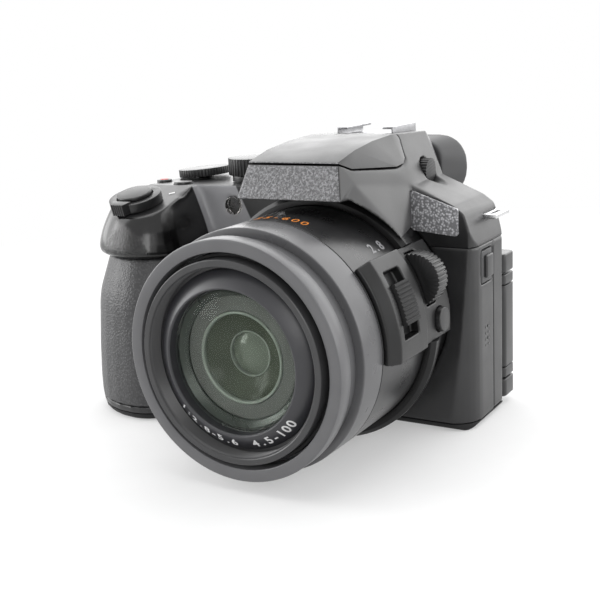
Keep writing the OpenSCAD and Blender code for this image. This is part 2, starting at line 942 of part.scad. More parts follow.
module side_block() {
  color(satin)
  difference() {
    intersection() {
      lens_turn() polygon([
        [barrel_r + seat, block_y[0]], [barrel_r + 1.4, block_y[0]], [block_r, block_y[0] + 3.6],
        [block_r, block_step], [rear_block_r, block_step], [rear_block_r, block_y[1]],
        [barrel_r + seat, block_y[1]]
      ]);
      lens_wedge(block_low, block_high, block_y[0] - 1, block_y[1] + 1);
    }
    intersection() {
      lens_tube(barrel_r + 0.7, 90, slot_y[0], slot_y[1]);
      lens_wedge(slot_low, slot_high, slot_y[0] - 1, slot_y[1] + 1);
    }
    side_dial_room();
    at_lens_angle(side_button_angle, barrel_r + 0.5, side_button_y)
      rotate([0, 90, 0]) cylinder(r = side_button_r + gap / 2, h = 10);
  }
  color(satin)
  translate(side_dial_at) rotate([-90, 0, 0])
    cylinder(r = axle_r, h = side_dial_t + 2 * gap + 0.4, center = true);
}

module side_lever() {
  ribs = 9;
  rib_r = 0.45;
  a0 = lever_mid - lever_arc / 2;
  color(black)
  difference() {
    intersection() {
      lens_tube(barrel_r + 0.7 + gap, block_r + 1.2, slot_y[0] + gap, slot_y[1] - gap);
      lens_wedge(a0, a0 + lever_arc, slot_y[0] - 1, slot_y[1] + 1);
    }
    for (k = [1 : ribs])
      at_lens_angle(a0 + lever_arc * k / (ribs + 1), block_r + 1.3, 0)
        translate([0, slot_y[0], 0])
          rotate([-90, 0, 0]) cylinder(r = rib_r, h = slot_y[1] - slot_y[0], $fn = 6);
  }
}

module side_dial() {
  color(black)
  translate(side_dial_at + [0, side_dial_t / 2, 0])
    rotate([90, 0, 0])
      difference() {
        knurled(side_dial_r, side_dial_t, 36, 0.35);
        translate([0, 0, -eps]) cylinder(r = axle_r + fit, h = side_dial_t + 2 * eps);
      }
}

module side_button() {
  color(black)
  at_lens_angle(side_button_angle, barrel_r + 0.5 + button_travel + gap, side_button_y)
    rotate([0, 90, 0]) cylinder(r = side_button_r, h = rear_block_r - barrel_r + 0.2);
}

lamp_at = [-43.3, deck_z - 6.6];
module lamp(grow) {
  translate([lamp_at[0], brow_y - 1, lamp_at[1]]) rotate([-90, 0, 0]) cylinder(r = 3 + grow, h = 4);
}

module af_lamp() {
  color([0.85, 0.8, 0.75])
  lamp(0);
}

// Hump: hot shoe, flash and viewfinder

shoe_half = 9.3;
shoe_lip = 6.3;
shoe_sheet = 0.7;
shoe_top = roof_z + 1.5;
shoe_floor = shoe_top - shoe_sheet - 2;
shoe_y = [0.8, back_y - 4.2];

module shoe_room() {
  half = shoe_half + shoe_sheet + seat;
  block([-half, shoe_y[0] - seat, shoe_floor - shoe_sheet], [half, far, far]);
}

module hot_shoe() {
  outer = shoe_half + shoe_sheet;
  base = shoe_floor - shoe_sheet;
  color(metal)
  along_y(shoe_y[0], shoe_y[1])
    polygon([
      [-outer, base], [outer, base], [outer, shoe_top], [shoe_lip, shoe_top],
      [shoe_lip, shoe_top - shoe_sheet], [shoe_half, shoe_top - shoe_sheet],
      [shoe_half, shoe_floor], [-shoe_half, shoe_floor],
      [-shoe_half, shoe_top - shoe_sheet], [-shoe_lip, shoe_top - shoe_sheet], [-shoe_lip, shoe_top],
      [-outer, shoe_top]
    ]);
}

flash_r = 1.5;
flash_axis = [-6.5, roof_z - flash_r];
flash_seam = roof_z - 8.8;
flash_pin_r = 0.7;
flash_pin_half = 11;
knuckle_half = 6;
// Underside of the flash, in (y, z), from its front edge to its lowest point
flash_lip = [nose_y + nose_lean, roof_front_z - 0.2];
flash_chin = [nose_y + nose_lean + 5, roof_front_z - 2.2];
flash_keel = [flash_axis[0] - 8.5, flash_seam];
flash_heel = [flash_axis[0] - 3.5, flash_seam + 0.4];
flash_tilt = atan2(flash_chin[1] - flash_keel[1], flash_keel[0] - flash_chin[0]);

// Side view of the flash, in (y, z), grown by d
module flash_outline(d) {
  polygon([
    flash_lip - [2 * d, d], flash_chin - [0, d], flash_keel - [0, d],
    flash_heel - [0, d], flash_heel + [2.6 + d, 1.4 - d], [flash_axis[0] + flash_r + d, flash_axis[1]],
    [flash_axis[0], flash_axis[1]], [flash_axis[0], far], [nose_y - 9, far], [nose_y - 9, flash_lip[1] - d]
  ]);
  translate(flash_axis) circle(r = flash_r + d);
}

module flash_room() {
  along_x(-far, far) flash_outline(gap);
}

module about_flash_axis() {
  translate([0, flash_axis[0], flash_axis[1]]) rotate([0, 90, 0]) children();
}

module flash_head() {
  slot = knuckle_half + gap;
  color(satin)
  difference() {
    intersection() {
      hump_form();
      along_x(-far, far) flash_outline(0);
    }
    block([-slot, flash_axis[0] - flash_r - gap, 0], [slot, far, far]);
    about_flash_axis() cylinder(r = flash_pin_r + fit, h = 2 * flash_pin_half, center = true);
    flash_window_form(seat);
  }
}

// Window in the underside, which faces forward once the flash is up
module flash_window_form(grow) {
  half = 11;
  depth = 11;
  sunk = 1.2;
  translate([0, flash_chin[0], flash_chin[1]])
    rotate([-flash_tilt, 0, 0])
      translate([-half - grow, 3 - grow, -1])
        cube([2 * (half + grow), depth + 2 * grow, sunk + 1 + grow]);
}

module flash_window() {
  color([0.9, 0.9, 0.88])
  intersection() {
    flash_window_form(0);
    along_x(-far, far) flash_outline(0);
  }
}

module flash_knuckle() {
  difference() {
    union() {
      along_x(-knuckle_half, knuckle_half) translate(flash_axis) circle(r = flash_r);
      block(
        [-knuckle_half, flash_axis[0], flash_axis[1] - flash_r],
        [knuckle_half, flash_axis[0] + flash_r + 2 * gap, roof_z]
      );
    }
    about_flash_axis() cylinder(r = flash_pin_r + fit, h = far, center = true);
  }
}

module flash_pin() {
  color(metal)
  about_flash_axis() cylinder(r = flash_pin_r, h = 2 * flash_pin_half - 0.4, center = true);
}

module flash_capacitor() {
  color([0.2, 0.25, 0.4])
  translate([rear_x + 5, back_y - wall - 8.5, base_t]) cylinder(r = 5, h = 30);
}

eyecup_z = [evf_z - 2, roof_z - 5];
module eyecup_level(y, x, z0, z1, r) {
  along_y(y, y + leaf) polygon(rounded(box_corners(-x, x, z0, z1, r)));
}

module eyecup() {
  rear = back_y + eyecup_d;
  color(rubber)
  difference() {
    hull() {
      eyecup_level(back_y, eyecup_half - 4.5, eyecup_z[0] - 0.5, eyecup_z[1], 6);
      eyecup_level(rear - 4, eyecup_half - 0.8, eyecup_z[0] - 1.6, eyecup_z[1] + 0.8, 8.6);
      eyecup_level(rear - 2, eyecup_half, eyecup_z[0] - 2, eyecup_z[1] + 1, 9.2);
      eyecup_level(rear - leaf, eyecup_half - 1.2, eyecup_z[0] - 1, eyecup_z[1], 8.4);
    }
    hull() {
      eyecup_level(back_y - leaf, evf_half, evf_z + 1, evf_z + evf_size[2] - 1, 2);
      eyecup_level(rear, eyecup_half - 4.5, eyecup_z[0] + 1.5, eyecup_z[1] - 2.5, 6);
    }
  }
}

module eyepiece(grow) {
  half = evf_half - 1;
  block(
    [-half - grow, back_y - wall, evf_z + 2 - grow],
    [half + grow, back_y + 0.4, evf_z + evf_size[2] - 2 + grow]
  );
}

module eyepiece_lens() {
  color(glass)
  eyepiece(0);
}

module evf_module() {
  rear = back_y - wall;
  color(black)
  block([-evf_half, rear - evf_size[1], evf_z], [evf_half, rear, evf_z + evf_size[2]]);
}

diopter_at = [skirt_half - 4.3, 4.6, shoulder_z + 2.2];
diopter_r = 3.9;
diopter_t = 3.4;
module diopter_room() {
  translate(diopter_at) rotate([0, 90, 0]) cylinder(r = diopter_r + gap, h = 10);
}

module diopter_axle(grow, l) {
  translate(diopter_at - [eps, 0, 0]) rotate([0, 90, 0]) cylinder(r = axle_r + grow, h = l + eps);
}

module diopter_dial() {
  color(black)
  difference() {
    translate(diopter_at + [gap, 0, 0]) rotate([0, 90, 0]) knurled(diopter_r, diopter_t, 24, 0.3);
    diopter_axle(fit, 2 * gap + diopter_t / 2);
  }
}

// Strap lugs: a plate with a slot at each end of the body, as [outer end, way in, front, height]
lug_t = 1.4;
lug_l = 6;
lug_bar = 1.5;
lug_slot = [1.8, 8.4];
lugs = [[side_x + 1.6, -1, 1.5, seam_z + 6.6], [-grip_out + 0.6, 1, 7.5, seam_z + 4]];

// A span of the plate, from its outer end inwards
module lug_span(way, x0, x1, y0, y1, grow) {
  block([min(way * x0, way * x1), y0, -grow], [max(way * x0, way * x1), y1, lug_t + grow]);
}

module lug_plates(slotted) {
  for (p = lugs)
    translate([p[0], p[2], p[3]])
      difference() {
        lug_span(p[1], 0, lug_l, 0, lug_slot[1] + 2 * lug_bar, 0);
        if (slotted)
          lug_span(p[1], lug_bar, lug_bar + lug_slot[0], lug_bar, lug_bar + lug_slot[1], eps);
      }
}

module strap_lugs() {
  color(metal)
  lug_plates(true);
}

// Top controls

mode_xy = [-43.5, 0];
command_xy = [shutter_x + 1.5, 6];
command_z = deck_z + 0.9;
power_h = 1.8;
stem_r = 2.5;
stem_l = 3.2;
record_xy = [shutter_x - 6.5, -7.5];
fn_xy = [shutter_x + 4, -10.5];
record_r = 2.6;
fn_r = 3.2;

module at_command() {
  translate([command_xy[0], command_xy[1], command_z]) rotate([0, -command_tilt, 0]) children();
}

module top_holes() {
  translate([mode_xy[0], mode_xy[1], deck_z - 2 * stem_l]) cylinder(r = stem_r + fit, h = 4 * stem_l);
  at_command() translate([0, 0, -2 * stem_l]) cylinder(r = stem_r + fit, h = 4 * stem_l);
  on_slope(shutter_x, shutter_y) translate([0, 0, -8]) cylinder(r = shutter_stem_r + fit, h = 16);
  translate([record_xy[0], record_xy[1], deck_z - 6]) cylinder(r = record_r + gap / 2, h = 12);
  translate([fn_xy[0], fn_xy[1], deck_z - 6]) cylinder(r = fn_r + gap / 2, h = 12);
}

module mode_dial() {
  root = power_h + 2 * gap + stem_l;
  color(black)
  translate([mode_xy[0], mode_xy[1], deck_z + power_h + 2 * gap]) {
    knurled(mode_r, mode_h, 40, 0.35);
    translate([0, 0, -root]) cylinder(r = stem_r, h = root + eps);
  }
}

module power_lever() {
  ring_out = mode_r - 1.2;
  color(satin)
  translate([mode_xy[0], mode_xy[1], deck_z + gap])
    difference() {
      union() {
        cylinder(r = ring_out, h = power_h);
        rotate([0, 0, 60]) block([0, -2.2, 0], [mode_r + 2.6, 2.2, power_h]);
      }
      translate([0, 0, -eps]) cylinder(r = stem_r + fit, h = power_h + 2 * eps);
    }
}

module command_dial() {
  color(black)
  at_command() {
    knurled(command_r, command_h, 48, 0.3);
    translate([0, 0, -stem_l]) cylinder(r = stem_r, h = stem_l + eps);
  }
}

shutter_stem_r = 2.2;
zoom_ring_h = 3;
module zoom_lever() {
  knob_w = 7;
  knob_reach = 2.8;
  color(black)
  on_slope(shutter_x, shutter_y) translate([0, 0, gap])
    difference() {
      union() {
        cylinder(r = zoom_ring_r, h = zoom_ring_h);
        block(
          [-knob_w / 2, -zoom_ring_r - knob_reach, 0],
          [knob_w / 2, -zoom_ring_r + 2, zoom_ring_h + 0.8]
        );
      }
      translate([0, 0, -eps]) cylinder(r = shutter_stem_r + fit, h = far);
      translate([0, 0, zoom_ring_h - shutter_sink]) cylinder(r = shutter_r + gap, h = far);
      for (k = [-2 : 2])
        translate([k * 1.25, -zoom_ring_r - knob_reach, -eps]) cylinder(r = 0.4, h = far, $fn = 6);
    }
}

shutter_sink = 1.6;
shutter_root = zoom_ring_h + shutter_travel + 2;
module shutter_button() {
  color(black)
  on_slope(shutter_x, shutter_y)
    translate([0, 0, gap + zoom_ring_h - shutter_sink + shutter_travel + 0.2]) {
      cylinder(r = shutter_r, h = shutter_sink);
      translate([0, 0, -shutter_root]) cylinder(r = shutter_stem_r, h = shutter_root + eps);
    }
}

module top_button(at, r) {
  translate([at[0], at[1], deck_z - wall]) cylinder(r = r, h = wall + button_proud);
}

module record_button() {
  color([0.55, 0.1, 0.1])
  top_button(record_xy, record_r);
}

module fn_button() {
  color(black)
  top_button(fn_xy, fn_r);
}

// Rear controls

module cursor_pad() {
  color(black)
  rear_button(cursor_at, set_r + gap);
}

module set_button() {
  color(black)
  rear_button([cursor_at[0], cursor_at[1], set_r]);
}

module focus_dial() {
  color(black)
  rear_button(focus_at, lock_r + gap, 1.6);
}

module lock_button() {
  color(black)
  rear_button([focus_at[0], focus_at[1], lock_r], 0, 1.4);
}

module finder_button() {
  color(black)
  rear_button(finder_at);
}

module play_button() {
  color(black)
  rear_button(play_at);
}

module menu_button() {
  color(black)
  rear_button(menu_at);
}

// Monitor

module hinge_notch(grow) {
  room = gap + lug_h + grow;
  block([hinge_x - grow, -far, hinge_z - room], [far, far, hinge_z + hinge_l + room]);
}

module monitor_frame() {
  color(satin)
  difference() {
    translate([0, 0, monitor_z])
      linear_extrude(monitor_h)
        polygon(rounded(box_corners(side_x - monitor_w, side_x, monitor_y, back_y, 2)));
    hinge_notch(gap);
    screen(seat);
  }
}

screen_edge = [4.5, 4];
screen_t = 0.9;
module screen(grow) {
  x = [side_x - monitor_w + screen_edge[0], hinge_x - 2];
  z = [monitor_z + screen_edge[1], monitor_z + monitor_h - screen_edge[1]];
  block(
    [x[0] - grow, back_y - screen_t - grow, z[0] - grow],
    [x[1] + grow, back_y + (grow > 0 ? 1 : 0), z[1] + grow]
  );
}

module monitor_screen() {
  color([0.05, 0.05, 0.06])
  screen(0);
}

module monitor_hinge() {
  color(black)
  difference() {
    translate([0, 0, hinge_z])
      linear_extrude(hinge_l)
        polygon(rounded([
          [hinge_x - gap, monitor_y, 0], [side_x, monitor_y, 2], [side_x, back_y, 2],
          [hinge_x - gap, back_y, 0]
        ]));
    translate([hinge_xy[0], hinge_xy[1], 0]) cylinder(r = pin_r + fit, h = far);
  }
}

module monitor_pin() {
  color(metal)
  translate([hinge_xy[0], hinge_xy[1], hinge_z - gap - lug_h + 0.2])
    cylinder(r = pin_r, h = hinge_l + 2 * (gap + lug_h) - 0.4);
}

// Covers

module mic_cap() {
  hinge_r = mic_t / 2;
  color(rubber) {
    block([side_x - mic_t, mic_y[0] + hinge_r, mic_z[0]], [side_x, mic_y[1], mic_z[1]]);
    translate([side_x - hinge_r, mic_y[0] + hinge_r, mic_z[0]])
      cylinder(r = hinge_r, h = mic_z[1] - mic_z[0]);
  }
}

module terminal_door() {
  color(satin)
  difference() {
    intersection() {
      grip_form(0);
      block([-far, door_y[0], door_z[0]], [-grip_out + 6, door_y[1], door_z[1]]);
    }
    grip_form(door_t);
  }
}

module battery_door() {
  color(black) {
    block([hatch_x[0], hatch_y[0], 0], [hatch_x[1] - hatch_r, hatch_y[1], base_t]);
    translate([hatch_x[1] - hatch_r, hatch_y[0], hatch_r])
      rotate([-90, 0, 0]) cylinder(r = hatch_r, h = hatch_y[1] - hatch_y[0]);
  }
}

// Inside

store_z = base_t + 0.3;
battery_at = [hatch_x[0] + 2.5, hatch_y[0] + 3];
battery_size = [hatch_x[1] - hatch_x[0] - card_room, battery_d, battery_h];

module battery() {
  color([0.2, 0.2, 0.24])
  translate([battery_at[0], battery_at[1], store_z]) cube(battery_size);
}

module memory_card() {
  color([0.15, 0.2, 0.5])
  translate([hatch_x[1] - 4.6, battery_at[1] + 8, store_z]) cube(card_size);
}

plate_t = 1.2;
plate_y = tail_y + sensor_t;
bush_r = 5.4;
module chassis() {
  color(metal)
  difference() {
    union() {
      block([-grip_in + 6, plate_y, base_t], [side_x - 8, plate_y + plate_t, seam_z + 9]);
      block([-20, tail_y - 6, base_t], [20, plate_y + plate_t, base_t + plate_t]);
    }
    translate([0, 0, -eps]) cylinder(r = bush_r + seat, h = 2 * tripod_d);
  }
}

module main_board() {
  color([0.1, 0.3, 0.2])
  block([-grip_in + 8, plate_y + plate_t, base_t + 12], [side_x - 10, plate_y + plate_t + 1.6, seam_z + 7]);
}

module case_screws() {
  color(metal)
  for (p = screw_xy)
    translate([p[0], p[1], 0.3]) {
      cylinder(r = screw_head_r, h = screw_head_t);
      cylinder(r = screw_r, h = screw_l - 1);
    }
}

module tripod_bush() {
  color(metal)
  difference() {
    cylinder(r = bush_r, h = tripod_d + 0.2);
    translate([0, 0, -eps]) cylinder(r = tripod_r, h = tripod_d + eps);
  }
}

front_shell();
rear_shell();
top_cover();
base_plate();
grip_rubber();
thumb_rest();
side_pad();
lens_collar();
outer_barrel();
front_ring();
mid_tube();
zoom_tube();
name_ring();
front_element();
second_group();
rear_group();
image_sensor();
zoom_motor();
side_block();
side_lever();
side_dial();
side_button();
af_lamp();
hot_shoe();
strap_lugs();
flash_head();
flash_window();
flash_pin();
flash_capacitor();
eyecup();
eyepiece_lens();
evf_module();
diopter_dial();
shutter_button();
zoom_lever();
record_button();
fn_button();
mode_dial();
power_lever();
command_dial();
monitor_frame();
monitor_screen();
monitor_hinge();
monitor_pin();
cursor_pad();
set_button();
focus_dial();
lock_button();
finder_button();
play_button();
menu_button();
mic_cap();
terminal_door();
battery_door();
battery();
memory_card();
chassis();
main_board();
case_screws();
tripod_bush();
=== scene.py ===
"""Dresses the bridge camera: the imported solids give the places, this script gives the looks."""
import json
import math

import bpy
from mathutils import Matrix, Vector

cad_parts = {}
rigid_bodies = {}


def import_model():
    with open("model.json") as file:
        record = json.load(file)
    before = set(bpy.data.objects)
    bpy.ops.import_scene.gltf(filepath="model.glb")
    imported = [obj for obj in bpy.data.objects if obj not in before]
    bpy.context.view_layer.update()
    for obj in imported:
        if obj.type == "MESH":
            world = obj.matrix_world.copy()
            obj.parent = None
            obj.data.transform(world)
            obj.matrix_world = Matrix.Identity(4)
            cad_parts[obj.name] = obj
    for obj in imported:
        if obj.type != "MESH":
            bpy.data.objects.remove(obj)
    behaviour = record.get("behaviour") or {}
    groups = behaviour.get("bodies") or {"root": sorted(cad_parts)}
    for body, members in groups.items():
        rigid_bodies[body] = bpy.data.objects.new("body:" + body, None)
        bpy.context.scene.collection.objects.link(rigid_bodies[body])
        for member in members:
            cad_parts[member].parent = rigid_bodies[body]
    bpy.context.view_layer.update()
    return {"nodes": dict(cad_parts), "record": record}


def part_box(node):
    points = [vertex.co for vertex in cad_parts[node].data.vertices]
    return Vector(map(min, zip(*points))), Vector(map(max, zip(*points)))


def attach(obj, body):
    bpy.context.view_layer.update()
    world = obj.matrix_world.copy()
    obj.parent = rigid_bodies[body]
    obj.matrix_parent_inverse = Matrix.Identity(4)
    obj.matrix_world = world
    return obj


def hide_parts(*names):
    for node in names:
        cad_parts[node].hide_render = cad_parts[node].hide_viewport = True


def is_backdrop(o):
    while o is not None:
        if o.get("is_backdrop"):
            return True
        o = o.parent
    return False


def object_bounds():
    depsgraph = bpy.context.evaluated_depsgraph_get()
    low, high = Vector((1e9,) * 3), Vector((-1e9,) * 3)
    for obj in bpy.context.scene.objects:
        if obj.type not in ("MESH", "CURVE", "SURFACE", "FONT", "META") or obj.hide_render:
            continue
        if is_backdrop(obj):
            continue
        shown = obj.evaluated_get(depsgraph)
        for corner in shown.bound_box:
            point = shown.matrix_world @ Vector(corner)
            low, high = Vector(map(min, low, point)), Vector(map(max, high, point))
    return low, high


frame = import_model()
scene = bpy.context.scene
body_of = {n: b for b, nodes in frame["record"]["behaviour"]["bodies"].items() for n in nodes}

MM = 0.001
AXIS_Z = 36.8  # height of the lens axis

MERGE_WITHIN = 0.002  # points this close are one, in mm
FLAT_WITHIN = math.radians(0.4)
EDGE_ANGLE = math.radians(34)
BLEND_FADE = 3
TURN_STEPS = 128


# Work by hand: selecting, editing and finishing one piece


def clear():
    if bpy.context.mode != "OBJECT":
        bpy.ops.object.mode_set(mode="OBJECT")
    bpy.ops.object.select_all(action="DESELECT")


def hold(piece):
    clear()
    piece.select_set(True)
    bpy.context.view_layer.objects.active = piece


def edit(piece, kind="VERT"):
    hold(piece)
    bpy.ops.object.mode_set(mode="EDIT")
    bpy.ops.mesh.select_mode(type=kind)
    bpy.ops.mesh.select_all(action="SELECT")


def done():
    bpy.ops.object.mode_set(mode="OBJECT")


def apply(piece, kind, **settings):
    hold(piece)
    step = piece.modifiers.new(kind.title(), kind)
    for key, value in settings.items():
        setattr(step, key, value)
    bpy.ops.object.modifier_apply(modifier=step.name)


def smooth(piece, angle=32):
    hold(piece)
    bpy.ops.object.shade_smooth_by_angle(angle=math.radians(angle))


def rounded_edges(piece, width, segments=3):
    apply(
        piece, "BEVEL", width=width * MM, segments=segments, limit_method="ANGLE",
        angle_limit=EDGE_ANGLE, miter_outer="MITER_ARC", use_clamp_overlap=True,
    )


def brick(name, middle, span):
    """A plain brick with its middle and span in mm."""
    clear()
    bpy.ops.mesh.primitive_cube_add(size=1)
    piece = bpy.context.object
    piece.name = name
    stretch = Matrix.Diagonal((*(Vector(span) * MM), 1))
    piece.data.transform(Matrix.Translation(Vector(middle) * MM) @ stretch)
    return piece


def copied(node):
    """A copy of a CAD node's mesh, its doubles merged and its flat faces joined."""
    piece = bpy.data.objects.new(node + "_skin", frame["nodes"][node].data.copy())
    piece.data.materials.clear()
    scene.collection.objects.link(piece)
    edit(piece)
    bpy.ops.mesh.remove_doubles(threshold=MERGE_WITHIN * MM)
    bpy.ops.mesh.dissolve_limited(angle_limit=FLAT_WITHIN)
    done()
    return piece


def softened(node, voxel, passes, keep, blends):
    """A copy of a CAD node with its edges melted, as a mould leaves them.

    keep is the share of the faces that stay. blends are (lowest corner, highest corner, passes): boxes in
    which the form flows together more."""
    piece = copied(node)
    apply(piece, "REMESH", mode="VOXEL", voxel_size=voxel * MM)
    for low, high, more in blends:
        spot = piece.vertex_groups.new(name="blend")
        middle = (Vector(low) + Vector(high)) * 0.5 * MM
        half = (Vector(high) - Vector(low)) * 0.5 * MM
        for v in piece.data.vertices:
            away = max(abs(v.co[k] - middle[k]) / half[k] for k in range(3))
            if away < 1:
                spot.add([v.index], min(1, BLEND_FADE * (1 - away)), "REPLACE")
        apply(piece, "SMOOTH", factor=0.5, iterations=more, vertex_group=spot.name)
        piece.vertex_groups.clear()
    apply(piece, "SMOOTH", factor=0.5, iterations=passes)
    apply(piece, "DECIMATE", ratio=keep)
    smooth(piece, 50)
    return piece


def turned(name, outline):
    """A piece turned about the lens axis from a closed outline of (radius, y) points."""
    clear()
    bpy.ops.mesh.primitive_plane_add(size=MM)
    piece = bpy.context.object
    piece.name = name
    bpy.ops.object.mode_set(mode="EDIT")
    bpy.ops.mesh.merge(type="CENTER")
    first = Vector((outline[0][0], outline[0][1], AXIS_Z)) * MM
    bpy.ops.transform.translate(value=first)
    for a, b in zip(outline, outline[1:]):
        step = Vector((b[0] - a[0], b[1] - a[1], 0)) * MM
        bpy.ops.mesh.extrude_region_move(TRANSFORM_OT_translate={"value": step})
    bpy.ops.mesh.select_all(action="SELECT")
    bpy.ops.mesh.spin(
        steps=TURN_STEPS, angle=math.tau, center=(0, 0, AXIS_Z * MM), axis=(0, 1, 0), use_auto_merge=True
    )
    bpy.ops.mesh.select_all(action="SELECT")
    bpy.ops.mesh.remove_doubles(threshold=MERGE_WITHIN / 2 * MM)
    bpy.ops.mesh.normals_make_consistent(inside=False)
    done()
    smooth(piece, 28)
    return piece


def dressed(piece, finish, body, slot, *nodes):
    """Gives a piece its finish, the body it rides and the CAD nodes it stands for; the slot is not used."""
    piece.data.materials.clear()
    piece.data.materials.append(finish)
    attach(piece, body)
    if nodes:
        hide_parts(*nodes)
    return piece


# Finishes


def blank(name):
    """A new finish, its node tree, its skin shader and the object's own coordinates."""
    finish = bpy.data.materials.new(name)
    finish.use_nodes = True
    tree = finish.node_tree
    skin = tree.nodes["Principled BSDF"]
    place = tree.nodes.new("ShaderNodeTexCoord").outputs["Object"]
    return finish, tree, skin, place


def texture(tree, kind, place, **values):
    made = tree.nodes.new("ShaderNodeTex" + kind)
    for key, value in values.items():
        if key in made.inputs:
            made.inputs[key].default_value = value
        else:
            setattr(made, key, value)
    tree.links.new(place, made.inputs["Vector"])
    return made


def ranged(tree, source, low, high, start=0.3, end=0.7):
    made = tree.nodes.new("ShaderNodeMapRange")
    for key, value in (("From Min", start), ("From Max", end), ("To Min", low), ("To Max", high)):
        made.inputs[key].default_value = value
    tree.links.new(source, made.inputs["Value"])
    return made.outputs["Result"]


def tone(tree, source, low, high, start=0.3, end=0.7):
    made = tree.nodes.new("ShaderNodeValToRGB")
    for stop, place, colour in zip(made.color_ramp.elements, (start, end), (low, high)):
        stop.position = place
        stop.color = (*colour, 1)
    tree.links.new(source, made.inputs["Fac"])
    return made.outputs["Color"]


def raised(tree, skin, height, depth, under=None):
    """Raises a grain on the skin, depth mm high, over another grain if one is given."""
    made = tree.nodes.new("ShaderNodeBump")
    made.inputs["Strength"].default_value = 1.0
    made.inputs["Distance"].default_value = depth * MM
    tree.links.new(height, made.inputs["Height"])
    if under:
        tree.links.new(under, made.inputs["Normal"])
    tree.links.new(made.outputs["Normal"], skin.inputs["Normal"])
    return made.outputs["Normal"]


def grey(value, blue=1.04):
    return (value, value, value * blue)


def moulded(name, dark, light, rough, grain, depth, specular=0.5, tint=(1, 1, 1.04)):
    """Moulded plastic: a mottled tone, an uneven gloss and a spark-eroded grain."""
    finish, tree, skin, place = blank(name)
    mottle = texture(tree, "Noise", place, Scale=110.0, Detail=3.0).outputs["Fac"]
    fine = texture(tree, "Noise", place, Scale=grain, Detail=3.0, Roughness=0.6).outputs["Fac"]
    low, high = (tuple(c * value for c in tint) for value in (dark, light))
    tree.links.new(tone(tree, mottle, low, high), skin.inputs["Base Color"])
    tree.links.new(ranged(tree, mottle, rough - 0.04, rough + 0.05), skin.inputs["Roughness"])
    skin.inputs["Specular IOR Level"].default_value = specular
    raised(tree, skin, fine, depth)
    return finish


def leathered(name, dark, light, rough, cell, depth):
    """Rubber with a pebbled leather grain of rounded cells."""
    finish, tree, skin, place = blank(name)
    warp = texture(tree, "Noise", place, Scale=cell * 0.5, Detail=2.0).outputs["Color"]
    bend = tree.nodes.new("ShaderNodeVectorMath")
    bend.operation = "MULTIPLY_ADD"
    bend.inputs[1].default_value = (0.6 / cell,) * 3
    tree.links.new(warp, bend.inputs[0])
    tree.links.new(place, bend.inputs[2])
    cells = texture(
        tree, "Voronoi", bend.outputs["Vector"], Scale=cell, feature="SMOOTH_F1", Smoothness=0.35
    ).outputs["Distance"]
    fine = texture(tree, "Noise", place, Scale=cell * 6, Detail=2.0).outputs["Fac"]
    mottle = texture(tree, "Noise", place, Scale=70.0, Detail=3.0).outputs["Fac"]
    tree.links.new(tone(tree, cells, grey(light), grey(dark), 0.1, 0.6), skin.inputs["Base Color"])
    tree.links.new(ranged(tree, mottle, rough - 0.05, rough + 0.06), skin.inputs["Roughness"])
    pebble = raised(tree, skin, ranged(tree, cells, 1, 0, 0.05, 0.65), depth)
    raised(tree, skin, fine, depth * 0.12, under=pebble)
    return finish


def brushed(name, colour, rough, scale):
    """Bare metal with fine drawn lines and a few dull patches."""
    finish, tree, skin, place = blank(name)
    stretch = tree.nodes.new("ShaderNodeMapping")
    stretch.inputs["Scale"].default_value = (1, 0.08, 1)
    tree.links.new(place, stretch.inputs["Vector"])
    lines = texture(tree, "Noise", stretch.outputs["Vector"], Scale=scale, Detail=4.0).outputs["Fac"]
    dull = texture(tree, "Noise", place, Scale=260.0, Detail=3.0).outputs["Fac"]
    worn = tuple(c * 0.72 for c in colour)
    tree.links.new(tone(tree, dull, worn, colour), skin.inputs["Base Color"])
    tree.links.new(ranged(tree, lines, rough - 0.08, rough + 0.1), skin.inputs["Roughness"])
    skin.inputs["Metallic"].default_value = 1.0
    raised(tree, skin, lines, 0.01)
    return finish


def glazed(name, colour, rough=0.0, ior=1.5):
    """Clear glass or lens plastic with a faint smear on its face; lamps shine through it."""
    finish, tree, skin, place = blank(name)
    smear = texture(tree, "Noise", place, Scale=160.0, Detail=2.0).outputs["Fac"]
    tree.links.new(ranged(tree, smear, rough, rough + 0.004), skin.inputs["Roughness"])
    skin.inputs["Base Color"].default_value = (*colour, 1)
    skin.inputs["Transmission Weight"].default_value = 1.0
    skin.inputs["IOR"].default_value = ior
    way_in = tree.nodes.new("ShaderNodeBsdfTransparent")
    way_in.inputs["Color"].default_value = (*colour, 1)
    lit = tree.nodes.new("ShaderNodeMixShader")
    tree.links.new(tree.nodes.new("ShaderNodeLightPath").outputs["Is Shadow Ray"], lit.inputs["Fac"])
    tree.links.new(skin.outputs["BSDF"], lit.inputs[1])
    tree.links.new(way_in.outputs["BSDF"], lit.inputs[2])
    tree.links.new(lit.outputs["Shader"], tree.nodes["Material Output"].inputs["Surface"])
    return finish


def inked(name, colour):
    """Printed paint with a slightly broken surface."""
    finish, tree, skin, place = blank(name)
    speck = texture(tree, "Noise", place, Scale=3000.0, Detail=2.0).outputs["Fac"]
    worn = tuple(c * 0.82 for c in colour)
    tree.links.new(tone(tree, speck, worn, colour), skin.inputs["Base Color"])
    skin.inputs["Roughness"].default_value = 0.5
    return finish


def parted(tree, vector):
    """The X, Y and Z of a vector."""
    made = tree.nodes.new("ShaderNodeSeparateXYZ")
    tree.links.new(vector, made.inputs["Vector"])
    return made.outputs


def figured(tree, operation, *terms):
    """A calculation in the tree: its terms are sockets or plain numbers."""
    made = tree.nodes.new("ShaderNodeMath")
    made.operation = operation
    for socket, term in zip(made.inputs, terms):
        if isinstance(term, float):
            socket.default_value = term
        else:
            tree.links.new(term, socket)
    return made.outputs[0]


def past(tree, value, limit, way, soft=0.3 * MM):
    """1 where a measure is past a limit, with a soft step: way is +1 for above and -1 for below."""
    return ranged(tree, value, 0, 1, limit - way * soft, limit + way * soft)


